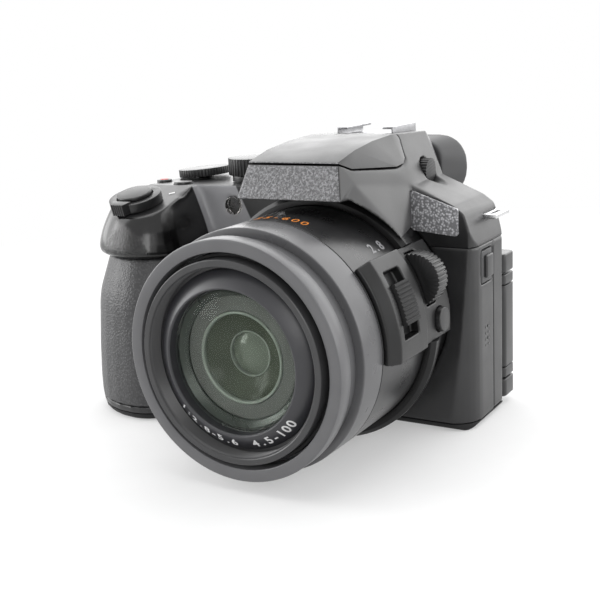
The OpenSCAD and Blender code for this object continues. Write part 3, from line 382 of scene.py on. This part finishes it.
def every(tree, share, *others):
    """1 where all the shares are 1."""
    for other in others:
        share = figured(tree, "MULTIPLY", share, other)
    return share


def blended(tree, share, a, b, kind="RGBA"):
    made = tree.nodes.new("ShaderNodeMix")
    made.data_type = kind
    sockets = {"RGBA": (6, 7, 2), "FLOAT": (2, 3, 0)}[kind]
    tree.links.new(share, made.inputs["Factor"])
    tree.links.new(a, made.inputs[sockets[0]])
    tree.links.new(b, made.inputs[sockets[1]])
    return made.outputs[sockets[2]]


# Zones of the top cover in mm: the hump's front, the cap's walls, and the panel round the focus lamp,
# painted pale as painted light, which ends at a slant where a near-black painted shade begins
STEEP, STEEP_STEP = 0.8, 0.02
HUMP_FRONT_Y = -42
CAP_X, CAP_Y = -44, -15
LAMP_X = (-60, -18)
LAMP_Y, LAMP_Z = -8.5, 74.5
SLANT, SLANT_AT = 0.5, -5.4


def cover(name, dark, light, rough):
    """The top cover's plastic: satin, with the hump's grained front, the glossy walls of the cap, a paler
    panel round the focus lamp, which is painted light, and a near-black painted shade beside it."""
    finish, tree, skin, place = blank(name)
    x, y, z = parted(tree, place)
    facing = parted(tree, tree.nodes.new("ShaderNodeNewGeometry").outputs["Normal"])
    fore = past(tree, facing["Y"], -STEEP, -1, STEEP_STEP)
    steep = past(tree, facing["Z"], STEEP, -1, STEEP_STEP)
    panel = every(tree, past(tree, y, HUMP_FRONT_Y * MM, -1), fore)
    wall = every(tree, past(tree, x, CAP_X * MM, -1), past(tree, y, CAP_Y * MM, -1), steep)
    beside_lamp = every(
        tree, past(tree, x, LAMP_X[0] * MM, 1), past(tree, x, LAMP_X[1] * MM, -1),
        past(tree, y, LAMP_Y * MM, -1), past(tree, z, LAMP_Z * MM, -1), steep,
    )
    slant = figured(tree, "MULTIPLY_ADD", z, SLANT, x)
    # Painted light left of the slant by the focus lamp, painted shade right of it
    painted_light_zone = every(tree, beside_lamp, past(tree, slant, SLANT_AT * MM, -1))
    painted_shade_zone = every(tree, beside_lamp, past(tree, slant, SLANT_AT * MM, 1))
    mottle = texture(tree, "Noise", place, Scale=110.0, Detail=3.0).outputs["Fac"]
    fine = texture(tree, "Noise", place, Scale=3000.0, Detail=3.0, Roughness=0.6).outputs["Fac"]
    grit = texture(tree, "Noise", place, Scale=1500.0, Detail=2.0, Roughness=0.7).outputs["Fac"]
    satin = tone(tree, mottle, grey(dark), grey(light))
    grained = tone(tree, grit, grey(0.08), grey(0.28), 0.42, 0.66)
    # gloss colours the cap's glossy walls and also the painted shade; pale is the painted highlight on the
    # panel by the focus lamp
    gloss = tone(tree, mottle, grey(0.003), grey(0.005))
    pale = tone(tree, mottle, grey(0.24), grey(0.28))
    sides = blended(tree, painted_shade_zone, blended(tree, painted_light_zone, satin, pale), gloss)
    colour = blended(tree, wall, blended(tree, panel, sides, grained), gloss)
    tree.links.new(colour, skin.inputs["Base Color"])
    even = ranged(tree, mottle, rough - 0.04, rough + 0.05)
    polished = ranged(tree, mottle, 0.16, 0.2)
    tree.links.new(blended(tree, wall, even, polished, "FLOAT"), skin.inputs["Roughness"])
    coarse = ranged(tree, grit, 0, 9)
    raised(tree, skin, blended(tree, panel, fine, coarse, "FLOAT"), 0.012)
    return finish


def barrelled(name, dark, light, rough, seam):
    """The barrel's plastic: near black behind the seam, a painted shade for the hump's shadow, and paler
    satin on the ring ahead of it.
    """
    finish, tree, skin, place = blank(name)
    ahead = past(tree, parted(tree, place)["Y"], seam * MM, -1)
    mottle = texture(tree, "Noise", place, Scale=110.0, Detail=3.0).outputs["Fac"]
    fine = texture(tree, "Noise", place, Scale=4200.0, Detail=3.0, Roughness=0.6).outputs["Fac"]
    # Painted shade: the near-black tone behind the seam stands for the hump's shadow on the barrel
    black = tone(tree, mottle, grey(dark), grey(dark * 1.2))
    pale = tone(tree, mottle, grey(light), grey(light * 1.1))
    tree.links.new(blended(tree, ahead, black, pale), skin.inputs["Base Color"])
    tree.links.new(ranged(tree, mottle, rough - 0.03, rough + 0.03), skin.inputs["Roughness"])
    raised(tree, skin, fine, 0.005)
    return finish


# Moulded: darkest and lightest tone, roughness, scale and depth of the grain, then shine and tint.
# Leathered: the same tones and roughness, then scale and depth of the cells.
# Brushed: colour, roughness and scale of the lines. Glazed: colour, roughness.
SATIN = moulded("satin_shell", 0.018, 0.022, 0.36, 3200.0, 0.01)
# The barrel's tone behind the seam is painted shade from the hump; the paler ring ahead is its own
BARREL = barrelled("barrel_satin", 0.018, 0.085, 0.29, -59.9)
FRONT_RING = moulded("front_ring_satin", 0.1, 0.112, 0.34, 4200.0, 0.006)
GLOSS = moulded("gloss_black", 0.004, 0.006, 0.16, 2200.0, 0.003)
COVER = cover("cover_satin", 0.013, 0.017, 0.34)
# The collar's near-black, less shiny tone is painted shade for the dark concave band round the barrel
COLLAR = moulded("collar_black", 0.006, 0.009, 0.34, 3000.0, 0.006, 0.3)
BLOCK = moulded("block_black", 0.006, 0.008, 0.34, 3200.0, 0.008, 0.4)
TUBE = moulded("tube_black", 0.03, 0.036, 0.34, 3600.0, 0.006)
NAME_RING = moulded("name_ring_black", 0.03, 0.036, 0.36, 3600.0, 0.006, tint=(1, 1, 1.12))
CELL_BLACK = moulded("lens_cell_black", 0.012, 0.016, 0.3, 3000.0, 0.004, tint=(0.9, 1.05, 0.95))
CELL_FACE = moulded("lens_cell_face", 0.075, 0.09, 0.5, 2600.0, 0.0, 0.2, (1.03, 1.0, 1.0))
CELL_RIM = moulded("lens_cell_rim", 0.14, 0.17, 0.36, 3000.0, 0.004, tint=(0.98, 1.04, 0.96))
MATT = moulded("matt_black", 0.008, 0.012, 0.6, 2800.0, 0.012, 0.3)
KNURL = moulded("dial_black", 0.009, 0.013, 0.34, 2600.0, 0.008)
GRIP = leathered("grip_leather", 0.032, 0.06, 0.44, 1300.0, 0.09)
# The pad's pale cell tops are painted glints and painted light on the black pebbled rubber; the cell grain
# is its own
PEBBLE = leathered("pad_pebble", 0.2, 0.72, 0.4, 1350.0, 0.12)
EYECUP = moulded("eyecup_rubber", 0.04, 0.05, 0.55, 2400.0, 0.02)
STEEL = brushed("bright_steel", (0.78, 0.78, 0.79), 0.24, 4200.0)
SHOE = brushed("shoe_metal", (0.42, 0.42, 0.43), 0.34, 3600.0)
PLATE = brushed("plate_metal", (0.66, 0.66, 0.68), 0.4, 2600.0)
BRASS = brushed("brass_bush", (0.72, 0.6, 0.36), 0.32, 3200.0)
LENS = glazed("lens_glass", (0.93, 0.98, 0.93), ior=1.1)
INNER_LENS = glazed("inner_glass", (0.72, 0.84, 0.72))
COATED_LENS = moulded("coated_glass", 0.044, 0.054, 0.12, 900.0, 0.0, 0.1, (0.98, 1.05, 0.86))
DEEP_LENS = moulded("deep_glass", 0.085, 0.1, 0.05, 900.0, 0.0, 0.3, (0.97, 1.05, 0.9))
LAMP = glazed("lamp_lens", (0.9, 0.88, 0.86), 0.12)
FLASH_LENS = glazed("flash_lens", (0.94, 0.94, 0.92), 0.3)
SCREEN = moulded("screen_glass", 0.004, 0.006, 0.08, 900.0, 0.001)
BOARD = moulded("board_green", 0.03, 0.05, 0.5, 900.0, 0.02)
CELL = moulded("cell_wrap", 0.05, 0.065, 0.45, 1800.0, 0.01)
SENSOR = moulded("sensor_dark", 0.02, 0.03, 0.3, 1800.0, 0.004)
WHITE = inked("white_mark", (0.8, 0.8, 0.8))
RED = inked("red_mark", (0.45, 0.03, 0.025))
PALE = inked("pale_mark", (0.3, 0.3, 0.31))
AMBER = inked("amber_mark", (0.75, 0.24, 0.03))

# Finish, record slot and edge radius of the pieces that keep their solid's form
plain = {
    "base_plate": (MATT, "dark_plastic", 0.3),
    "side_pad": (PEBBLE, "grip_skin", 0.25),
    "lens_collar": (COLLAR, "satin_plastic", 0.4),
    "mid_tube": (MATT, "dark_plastic", 0.1),
    "second_group": (INNER_LENS, "lens_glass", 0),
    "rear_group": (INNER_LENS, "lens_glass", 0),
    "image_sensor": (SENSOR, "sensor", 0.2),
    "zoom_motor": (STEEL, "steel", 0.2),
    "side_lever": (MATT, "dark_plastic", 0.2),
    "side_dial": (KNURL, "gloss_plastic", 0.12),
    "side_button": (KNURL, "gloss_plastic", 0.3),
    "af_lamp": (LAMP, "lamp_lens", 0.3),
    "hot_shoe": (SHOE, "shoe_metal", 0.15),
    "strap_lugs": (STEEL, "steel", 0.3),
    "flash_head": (COVER, "satin_plastic", 0.3),
    "flash_window": (FLASH_LENS, "flash_lens", 0.2),
    "flash_pin": (STEEL, "steel", 0.1),
    "flash_capacitor": (CELL, "cell", 0.3),
    "eyepiece_lens": (LENS, "lens_glass", 0.2),
    "evf_module": (MATT, "dark_plastic", 0.2),
    "diopter_dial": (KNURL, "gloss_plastic", 0.1),
    "shutter_button": (KNURL, "gloss_plastic", 0.4),
    "record_button": (KNURL, "red_button", 0.3),
    "fn_button": (KNURL, "gloss_plastic", 0.3),
    "mode_dial": (KNURL, "gloss_plastic", 0.12),
    "power_lever": (KNURL, "gloss_plastic", 0.2),
    "command_dial": (KNURL, "gloss_plastic", 0.12),
    "monitor_frame": (SATIN, "satin_plastic", 0.5),
    "monitor_screen": (SCREEN, "screen_glass", 0.15),
    "monitor_hinge": (SATIN, "satin_plastic", 0.4),
    "monitor_pin": (STEEL, "steel", 0.1),
    "cursor_pad": (KNURL, "gloss_plastic", 0.3),
    "set_button": (KNURL, "gloss_plastic", 0.3),
    "focus_dial": (KNURL, "gloss_plastic", 0.3),
    "lock_button": (KNURL, "gloss_plastic", 0.3),
    "finder_button": (KNURL, "gloss_plastic", 0.3),
    "play_button": (KNURL, "gloss_plastic", 0.3),
    "menu_button": (KNURL, "gloss_plastic", 0.3),
    "mic_cap": (EYECUP, "eyecup_rubber", 0.3),
    "terminal_door": (SATIN, "satin_plastic", 0.3),
    "battery_door": (MATT, "dark_plastic", 0.25),
    "battery": (CELL, "cell", 0.6),
    "memory_card": (CELL, "cell", 0.2),
    "chassis": (PLATE, "plate_metal", 0.15),
    "main_board": (BOARD, "board", 0.1),
    "case_screws": (STEEL, "steel", 0.15),
    "tripod_bush": (BRASS, "brass_bush", 0.2),
}

for node, (finish, slot, width) in plain.items():
    piece = copied(node)
    if width:
        rounded_edges(piece, width)
    smooth(piece)
    dressed(piece, finish, body_of[node], slot, node)

# Shells, melted from their solids: finish, slot, voxel in mm, passes, share of faces kept, and blends

soft = {
    "front_shell": (SATIN, "satin_plastic", 0.55, 5, 0.35, ()),
    "rear_shell": (SATIN, "satin_plastic", 0.6, 5, 0.3, ()),
    "top_cover": (
        COVER, "satin_plastic", 0.3, 5, 0.18,
        [
            ((10, -42, 64), (30, -4, 84), 100), ((-26, -30, 66), (-14, -4, 82), 100),
            ((-66, -24, 54), (-44, -4, 73), 320), ((-96, -60, 50), (-56, 6, 72), 140),
        ],
    ),
    "grip_rubber": (GRIP, "grip_skin", 0.5, 30, 0.4, ()),
    "thumb_rest": (GRIP, "grip_skin", 0.4, 10, 0.5, ()),
    "eyecup": (EYECUP, "eyecup_rubber", 0.5, 8, 0.5, ()),
    "side_block": (BLOCK, "satin_plastic", 0.3, 4, 0.5, ()),
}

for node, (finish, slot, voxel, passes, keep, blends) in soft.items():
    dressed(softened(node, voxel, passes, keep, blends), finish, body_of[node], slot, node)

# Lens, turned about its axis: outlines are (radius, y) in mm

THREAD_TURNS, THREAD_PITCH, THREAD_Y = 5, 0.75, -81.2
THREAD_CREST, THREAD_ROOT = 26.05, 26.5
thread = []
for k in range(THREAD_TURNS):
    y = THREAD_Y + k * THREAD_PITCH
    thread += [(THREAD_CREST, y), (THREAD_ROOT, y + THREAD_PITCH / 2)]
thread.append((THREAD_CREST, THREAD_Y + THREAD_TURNS * THREAD_PITCH))

front_ring = turned("front_ring_turned", [
    (30, -75), (30, -80.45), (30.12, -80.72), (30.4, -80.86), (33.05, -81), (33.3, -80.95),
    (33.5, -80.78), (33.6, -80.5), (33.6, -75.95), (33.52, -75.78), (33.35, -75.7), (32.3, -75.7),
    (32.2, -75.6), (32.2, -64.6), (29.55, -64.6), (29.55, -75), (30, -75),
])
dressed(front_ring, FRONT_RING, "camera", "barrel_plastic", "front_ring")

barrel = turned("outer_barrel_turned", [
    (32.25, -70.5), (34.3, -70.5), (34.58, -70.42), (34.74, -70.22), (34.8, -69.9), (34.8, -60.3),
    (34.72, -60.2), (34.4, -60.2), (34.4, -59.8), (34.72, -59.8), (34.8, -59.7), (34.8, -30.1),
    (31.5, -30.1), (31.5, -2), (12.1, -2), (12.1, -4), (30, -4), (30, -27), (26.5, -27), (26.5, -35.5),
    (29.5, -35.5), (29.5, -64.5), (32.25, -64.5), (32.25, -70.5),
])
dressed(barrel, BARREL, "camera", "barrel_plastic", "outer_barrel")

rim = turned("zoom_tube_turned", [
    *thread, (25.25, -77.4), (25.25, -70), (26.9, -69), (26.9, -44), (28.4, -44), (28.4, -81.6),
    (28.3, -81.85), (28.1, -82), (26.75, -82), (26.5, -81.85), (26.35, -81.5), thread[0],
])
dressed(rim, TUBE, "front_tube", "dark_plastic", "zoom_tube")

name_ring = turned("name_ring_turned", [
    (25.15, -78), (24.9, -78.3), (21, -81.2), (20.6, -81.3), (20.3, -81.2), (20.1, -80.9),
    (20.05, -78.4), (20.05, -72), (25.15, -72), (25.15, -78),
])
dressed(name_ring, NAME_RING, "front_tube", "dark_plastic", "name_ring")


def domed(radius, top, sag, steps):
    """Half the outline of a domed glass, from its top to its rim."""
    return [(radius * k / steps, top + sag * (k / steps) ** 2) for k in range(steps + 1)]


GLASS_R, GLASS_THICK, GLASS_BACK = 20.0, 1.9, -77
dome = domed(GLASS_R, -81.6, 3.2, 16)
inside = [(r, y + GLASS_THICK) for r, y in reversed(dome[:-1])]
glass = turned("front_glass", dome + [(GLASS_R, GLASS_BACK)] + inside)
dressed(glass, LENS, "front_tube", "lens_glass", "front_element")

CELL_PARTS = {
    "cell_wall": (CELL_BLACK, "dark_plastic", [
        (19.9, -77), (19.5, -77), (17.6, -75.6), (17.3, -75.6), (17.3, -66), (19.9, -66), (19.9, -77),
    ]),
    "cell_face": (CELL_FACE, "dark_plastic", [
        (17.25, -75.2), (13.2, -75.4), (13.1, -74), (17.25, -74), (17.25, -75.2),
    ]),
    "cell_rim": (CELL_RIM, "dark_plastic", [
        (13.05, -75.5), (12.9, -75.75), (12.5, -75.8), (12.2, -75.5), (12.15, -74), (13.05, -74),
        (13.05, -75.5),
    ]),
    "coated_glass": (COATED_LENS, "lens_glass", [
        (12.1, -74.6), (11, -73.6), (9, -72.2), (6.6, -71.2), (6.55, -70), (12.1, -70), (12.1, -74.6),
    ]),
    "deep_rim": (CELL_RIM, "dark_plastic", [
        (6.5, -71.2), (6.35, -71.35), (6.15, -71.3), (6.1, -70), (6.5, -70), (6.5, -71.2),
    ]),
    "deep_glass": (DEEP_LENS, "lens_glass", [
        *domed(6.05, -71.6, 1.4, 8), (6.05, -69), (0, -69),
    ]),
}

for name, (finish, slot, outline) in CELL_PARTS.items():
    dressed(turned(name, outline), finish, "front_tube", slot)

# Zoom lever, its finger tab drawn in close to the ring

DECK_SLOPE = (0.96593, 0.25882)  # cosine and sine of the 15 degrees by which the deck falls
RING_R, TAB_LENGTH = 8.7, 3.4
TAB_DRAWN_IN, TAB_NARROWED = 0.45, 0.68

lever = copied("zoom_lever")
low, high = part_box("zoom_lever")
ring_x = (low[0] + high[0]) / 2
ahead = Vector((0, -DECK_SLOPE[0], -DECK_SLOPE[1]))
hub = Vector((ring_x, high[1] - RING_R * MM * DECK_SLOPE[0], 0))
tab_root = max((v.co - hub).dot(ahead) for v in lever.data.vertices) - TAB_LENGTH * MM
for v in lever.data.vertices:
    out = (v.co - hub).dot(ahead)
    if out > tab_root:
        v.co -= ahead * (out - tab_root) * TAB_DRAWN_IN
        v.co.x = ring_x + (v.co.x - ring_x) * TAB_NARROWED
rounded_edges(lever, 0.2)
smooth(lever)
dressed(lever, KNURL, "shutter_lever", "gloss_plastic", "zoom_lever")


# Hinge knuckles beside the monitor's own, and small trims


def disc(name, place, radius, depth, way, edge, sides=48):
    """A round piece with its edges eased, its middle at a place in mm and its axis along a way."""
    clear()
    bpy.ops.mesh.primitive_cylinder_add(vertices=sides, radius=radius * MM, depth=depth * MM)
    piece = bpy.context.object
    piece.name = name
    turn = Vector((0, 0, 1)).rotation_difference(Vector(way)).to_matrix().to_4x4()
    piece.data.transform(Matrix.Translation(Vector(place) * MM) @ turn)
    rounded_edges(piece, edge)
    smooth(piece)
    return piece


KNUCKLE_XY, KNUCKLE_SPAN, KNUCKLE_ROUND = (37.3, 17.3), (9.3, 9.3, 3.2), 1.8
for name, height in (("knuckle_low", 10.85), ("knuckle_high", 41.85)):
    knuckle = brick(name, (*KNUCKLE_XY, height), KNUCKLE_SPAN)
    edit(knuckle, "EDGE")
    bpy.ops.mesh.select_all(action="DESELECT")
    done()
    for edge in knuckle.data.edges:
        a, b = (knuckle.data.vertices[k].co for k in edge.vertices)
        edge.select = abs(a.z - b.z) > MM
    bpy.ops.object.mode_set(mode="EDIT")
    bpy.ops.mesh.bevel(offset=KNUCKLE_ROUND * MM, segments=6)
    done()
    rounded_edges(knuckle, 0.3)
    smooth(knuckle)
    dressed(knuckle, SATIN, "camera", "satin_plastic")

PULL_THICK, PULL_OUT, PULL_BACK, PULL_INSET = 1.2, 0.4, 0.6, 3
low, high = (Vector(corner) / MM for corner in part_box("mic_cap"))
pull = brick(
    "mic_cap_pull",
    (high.x + PULL_OUT, (low.y + high.y) / 2 + PULL_BACK, (low.z + high.z) / 2),
    (PULL_THICK, high.y - low.y - PULL_INSET, high.z - low.z - PULL_INSET),
)
rounded_edges(pull, 0.55, 5)
smooth(pull)
dressed(pull, SATIN, "mic_flap", "eyecup_rubber")

face = disc("side_dial_face", (32.4, -34.28, 51.5), 6.7, 0.22, (0, -1, 0), 0.08, 64)
dressed(face, GLOSS, "lens_dial", "gloss_plastic")

low, high = (Vector(corner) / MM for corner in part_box("record_button"))
button_top = ((low.x + high.x) / 2, (low.y + high.y) / 2, high.z)
spot = disc("record_spot", button_top, 1.5, 0.16, (0, 0, 1), 0.06)
dressed(spot, RED, "record", "red_button")

# The speaker holes are gloss-black discs laid on the side: painted shade in place of open holes
SPEAKER_AT, SPEAKER_STEP = (42.0, -3.6, 25), 1.9
for row in range(4):
    for column in range(2):
        place = Vector(SPEAKER_AT) + Vector((0, column, row)) * SPEAKER_STEP
        hole = disc(f"speaker_hole_{row}{column}", place, 0.52, 0.12, (1, 0, 0), 0.03, 20)
        dressed(hole, GLOSS, "camera", "dark_plastic")

# Printed marks: plain numbers, drawn flat and laid on the surface

PRINT_DEPTH = 0.02
BARREL_PRINT_R = 34.83


def printed(name, words, height, spacing, laid, finish, body, bold=0.02):
    """Prints signs of a height and spacing in mm; laid gives the surface's frame along the line of print."""
    clear()
    along = -spacing * (len(words) - 1) / 2
    for sign in words:
        if sign != " ":
            bpy.ops.object.text_add()
            mark = bpy.context.object
            mark.data.body = sign
            mark.data.size = height * MM
            mark.data.align_x = "CENTER"
            mark.data.align_y = "CENTER"
            mark.data.extrude = PRINT_DEPTH * MM
            mark.data.offset = bold * height * MM
            bpy.ops.object.convert(target="MESH")
            mark.data.transform(laid(along))
            mark.name = name + "_sign"
        along += spacing
    clear()
    signs = [piece for piece in scene.collection.all_objects if piece.name.startswith(name + "_sign")]
    for sign in signs:
        sign.select_set(True)
    bpy.context.view_layer.objects.active = signs[0]
    bpy.ops.object.join()
    piece = bpy.context.object
    piece.name = name
    piece.data.name = name
    dressed(piece, finish, body, "satin_plastic")


def surface_frame(place, along, upward):
    """The frame of a print: its place in mm, the way it reads and the way its signs stand."""
    way = Vector(along).normalized()
    out = way.cross(Vector(upward)).normalized()
    frame_of = Matrix((way, out.cross(way), out)).transposed().to_4x4()
    return Matrix.Translation(Vector(place) * MM) @ frame_of


def on_name_ring(at):
    """On the cone of the name ring, reading along its lower half."""
    radius, depth, slope = 23.0, -79.78, 0.744
    turn = at / radius
    place = (radius * math.sin(turn), depth, AXIS_Z - radius * math.cos(turn))
    along = (math.cos(turn), 0, math.sin(turn))
    return surface_frame(place, along, (-math.sin(turn), -slope, math.cos(turn)))


def on_barrel(start, depth):
    """On the barrel's outside, reading round it from the front."""
    def laid(at):
        turn = math.radians(start) + at / BARREL_PRINT_R
        place = (BARREL_PRINT_R * math.sin(turn), depth, AXIS_Z + BARREL_PRINT_R * math.cos(turn))
        return surface_frame(place, (math.cos(turn), 0, -math.sin(turn)), (0, 1, 0))
    return laid


def along_barrel(turn, depth):
    """On the barrel's outside, reading back along it."""
    sine, cosine = math.sin(math.radians(turn)), math.cos(math.radians(turn))

    def laid(at):
        place = (BARREL_PRINT_R * sine, depth + at, AXIS_Z + BARREL_PRINT_R * cosine)
        return surface_frame(place, (0, 1, 0), (-cosine, 0, sine))
    return laid


def on_deck(at):
    """On the sloping deck beside the function button."""
    return surface_frame((-62.17 + at, -20.94, 71.9), (0.8, 0.58, 0.16), (-0.6, 0.78, 0.2))


printed("ring_numbers", "1:2.8-5.6  4.5-100", 3.9, 2.35, on_name_ring, WHITE, "front_tube")
printed("zoom_numbers", "25-600", 4.4, 3.0, on_barrel(3, -54.5), AMBER, "camera", 0.0)
printed("aperture_number", "2.8", 4.4, 2.7, along_barrel(43.8, -41), PALE, "camera")
printed("deck_index", "-", 6.0, 1.0, on_deck, WHITE, "camera", 0.05)

# Camera, floor and light: the camera's stand is in mm

TURN, RISE, ROLL = math.radians(31.49), math.radians(13.81), math.radians(-2.96)
back = Vector((math.sin(TURN) * math.cos(RISE), -math.cos(TURN) * math.cos(RISE), math.sin(RISE)))
level = Vector((math.cos(TURN), math.sin(TURN), 0))
upright = back.cross(level)
right = math.cos(ROLL) * level + math.sin(ROLL) * upright
up = math.cos(ROLL) * upright - math.sin(ROLL) * level
AIM = Vector((0, -20, 45))
REACH, SIDE, LIFT = 327.6, -12.2, -5.1
TARGET = (0, -0.02, 0.045)  # what the lamps look at, in metres

camera = bpy.data.objects.new("camera_view", bpy.data.cameras.new("camera_view"))
scene.collection.objects.link(camera)
camera.data.sensor_width = 36
camera.data.lens = 63
camera.data.clip_start = 0.01
stand = (AIM + back * REACH + right * SIDE + up * LIFT) * MM
camera.matrix_world = Matrix.Translation(stand) @ Matrix((right, up, back)).transposed().to_4x4()
scene.camera = camera


def lamp(name, place, width, height, power):
    """A softbox that looks at the middle of the camera; measures in metres and watts."""
    light = bpy.data.lights.new(name, "AREA")
    light.shape = "RECTANGLE"
    light.size, light.size_y, light.energy = width, height, power
    holder = bpy.data.objects.new(name, light)
    holder.location = place
    holder.rotation_euler = (Vector(TARGET) - Vector(place)).to_track_quat("-Z", "Y").to_euler()
    scene.collection.objects.link(holder)


lamp("back_softbox", (-0.15, 1.05, 0.6), 2.2, 1.1, 15)
lamp("top_softbox", (0.0, 0.05, 0.95), 1.0, 0.9, 5)
lamp("left_softbox", (-0.85, -0.1, 0.42), 0.9, 0.8, 4.4)
lamp("right_softbox", (0.95, 0.42, 0.36), 0.8, 0.7, 5)
lamp("front_softbox", (-1.0, -0.6, 0.3), 0.8, 0.5, 5)
lamp("fill_softbox", (0.62, -1.02, 0.5), 0.5, 0.5, 3)

clear()
bpy.ops.mesh.primitive_plane_add(size=6, location=(0, 0, -0.0002))
floor = bpy.context.object
floor.name = "floor"
GLOW_FROM, GLOW_TO = 0.12, 0.4  # the paper fades to white between these distances
paper, tree, skin, place = blank("floor_paper")
fibre = texture(tree, "Noise", place, Scale=40.0, Detail=3.0).outputs["Fac"]
tree.links.new(tone(tree, fibre, (0.86, 0.86, 0.86), (0.89, 0.89, 0.89)), skin.inputs["Base Color"])
skin.inputs["Roughness"].default_value = 0.9
skin.inputs["Specular IOR Level"].default_value = 0.0
far_off = tree.nodes.new("ShaderNodeVectorMath")
far_off.operation = "LENGTH"
tree.links.new(place, far_off.inputs[0])
glow = tree.nodes.new("ShaderNodeEmission")
glow.inputs["Color"].default_value = (1, 1, 1, 1)
blend = tree.nodes.new("ShaderNodeMixShader")
tree.links.new(ranged(tree, far_off.outputs["Value"], 0.35, 1, GLOW_FROM, GLOW_TO), blend.inputs["Fac"])
tree.links.new(skin.outputs["BSDF"], blend.inputs[1])
tree.links.new(glow.outputs["Emission"], blend.inputs[2])
tree.links.new(blend.outputs["Shader"], tree.nodes["Material Output"].inputs["Surface"])
floor.data.materials.append(paper)
floor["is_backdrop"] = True

sky = bpy.data.worlds.new("studio")
scene.world = sky
sky.use_nodes = True
tree = sky.node_tree
ray = tree.nodes.new("ShaderNodeLightPath").outputs
mirrored = figured(tree, "MAXIMUM", ray["Is Glossy Ray"], ray["Is Transmission Ray"])
seen = figured(tree, "MAXIMUM", ray["Is Camera Ray"], mirrored)
sky_light = tree.nodes["Background"]
sky_light.inputs["Color"].default_value = (1, 1, 1, 1)
tree.links.new(ranged(tree, seen, 0.5, 1, 0, 1), sky_light.inputs["Strength"])

scene.view_settings.view_transform = "Standard"

low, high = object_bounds()
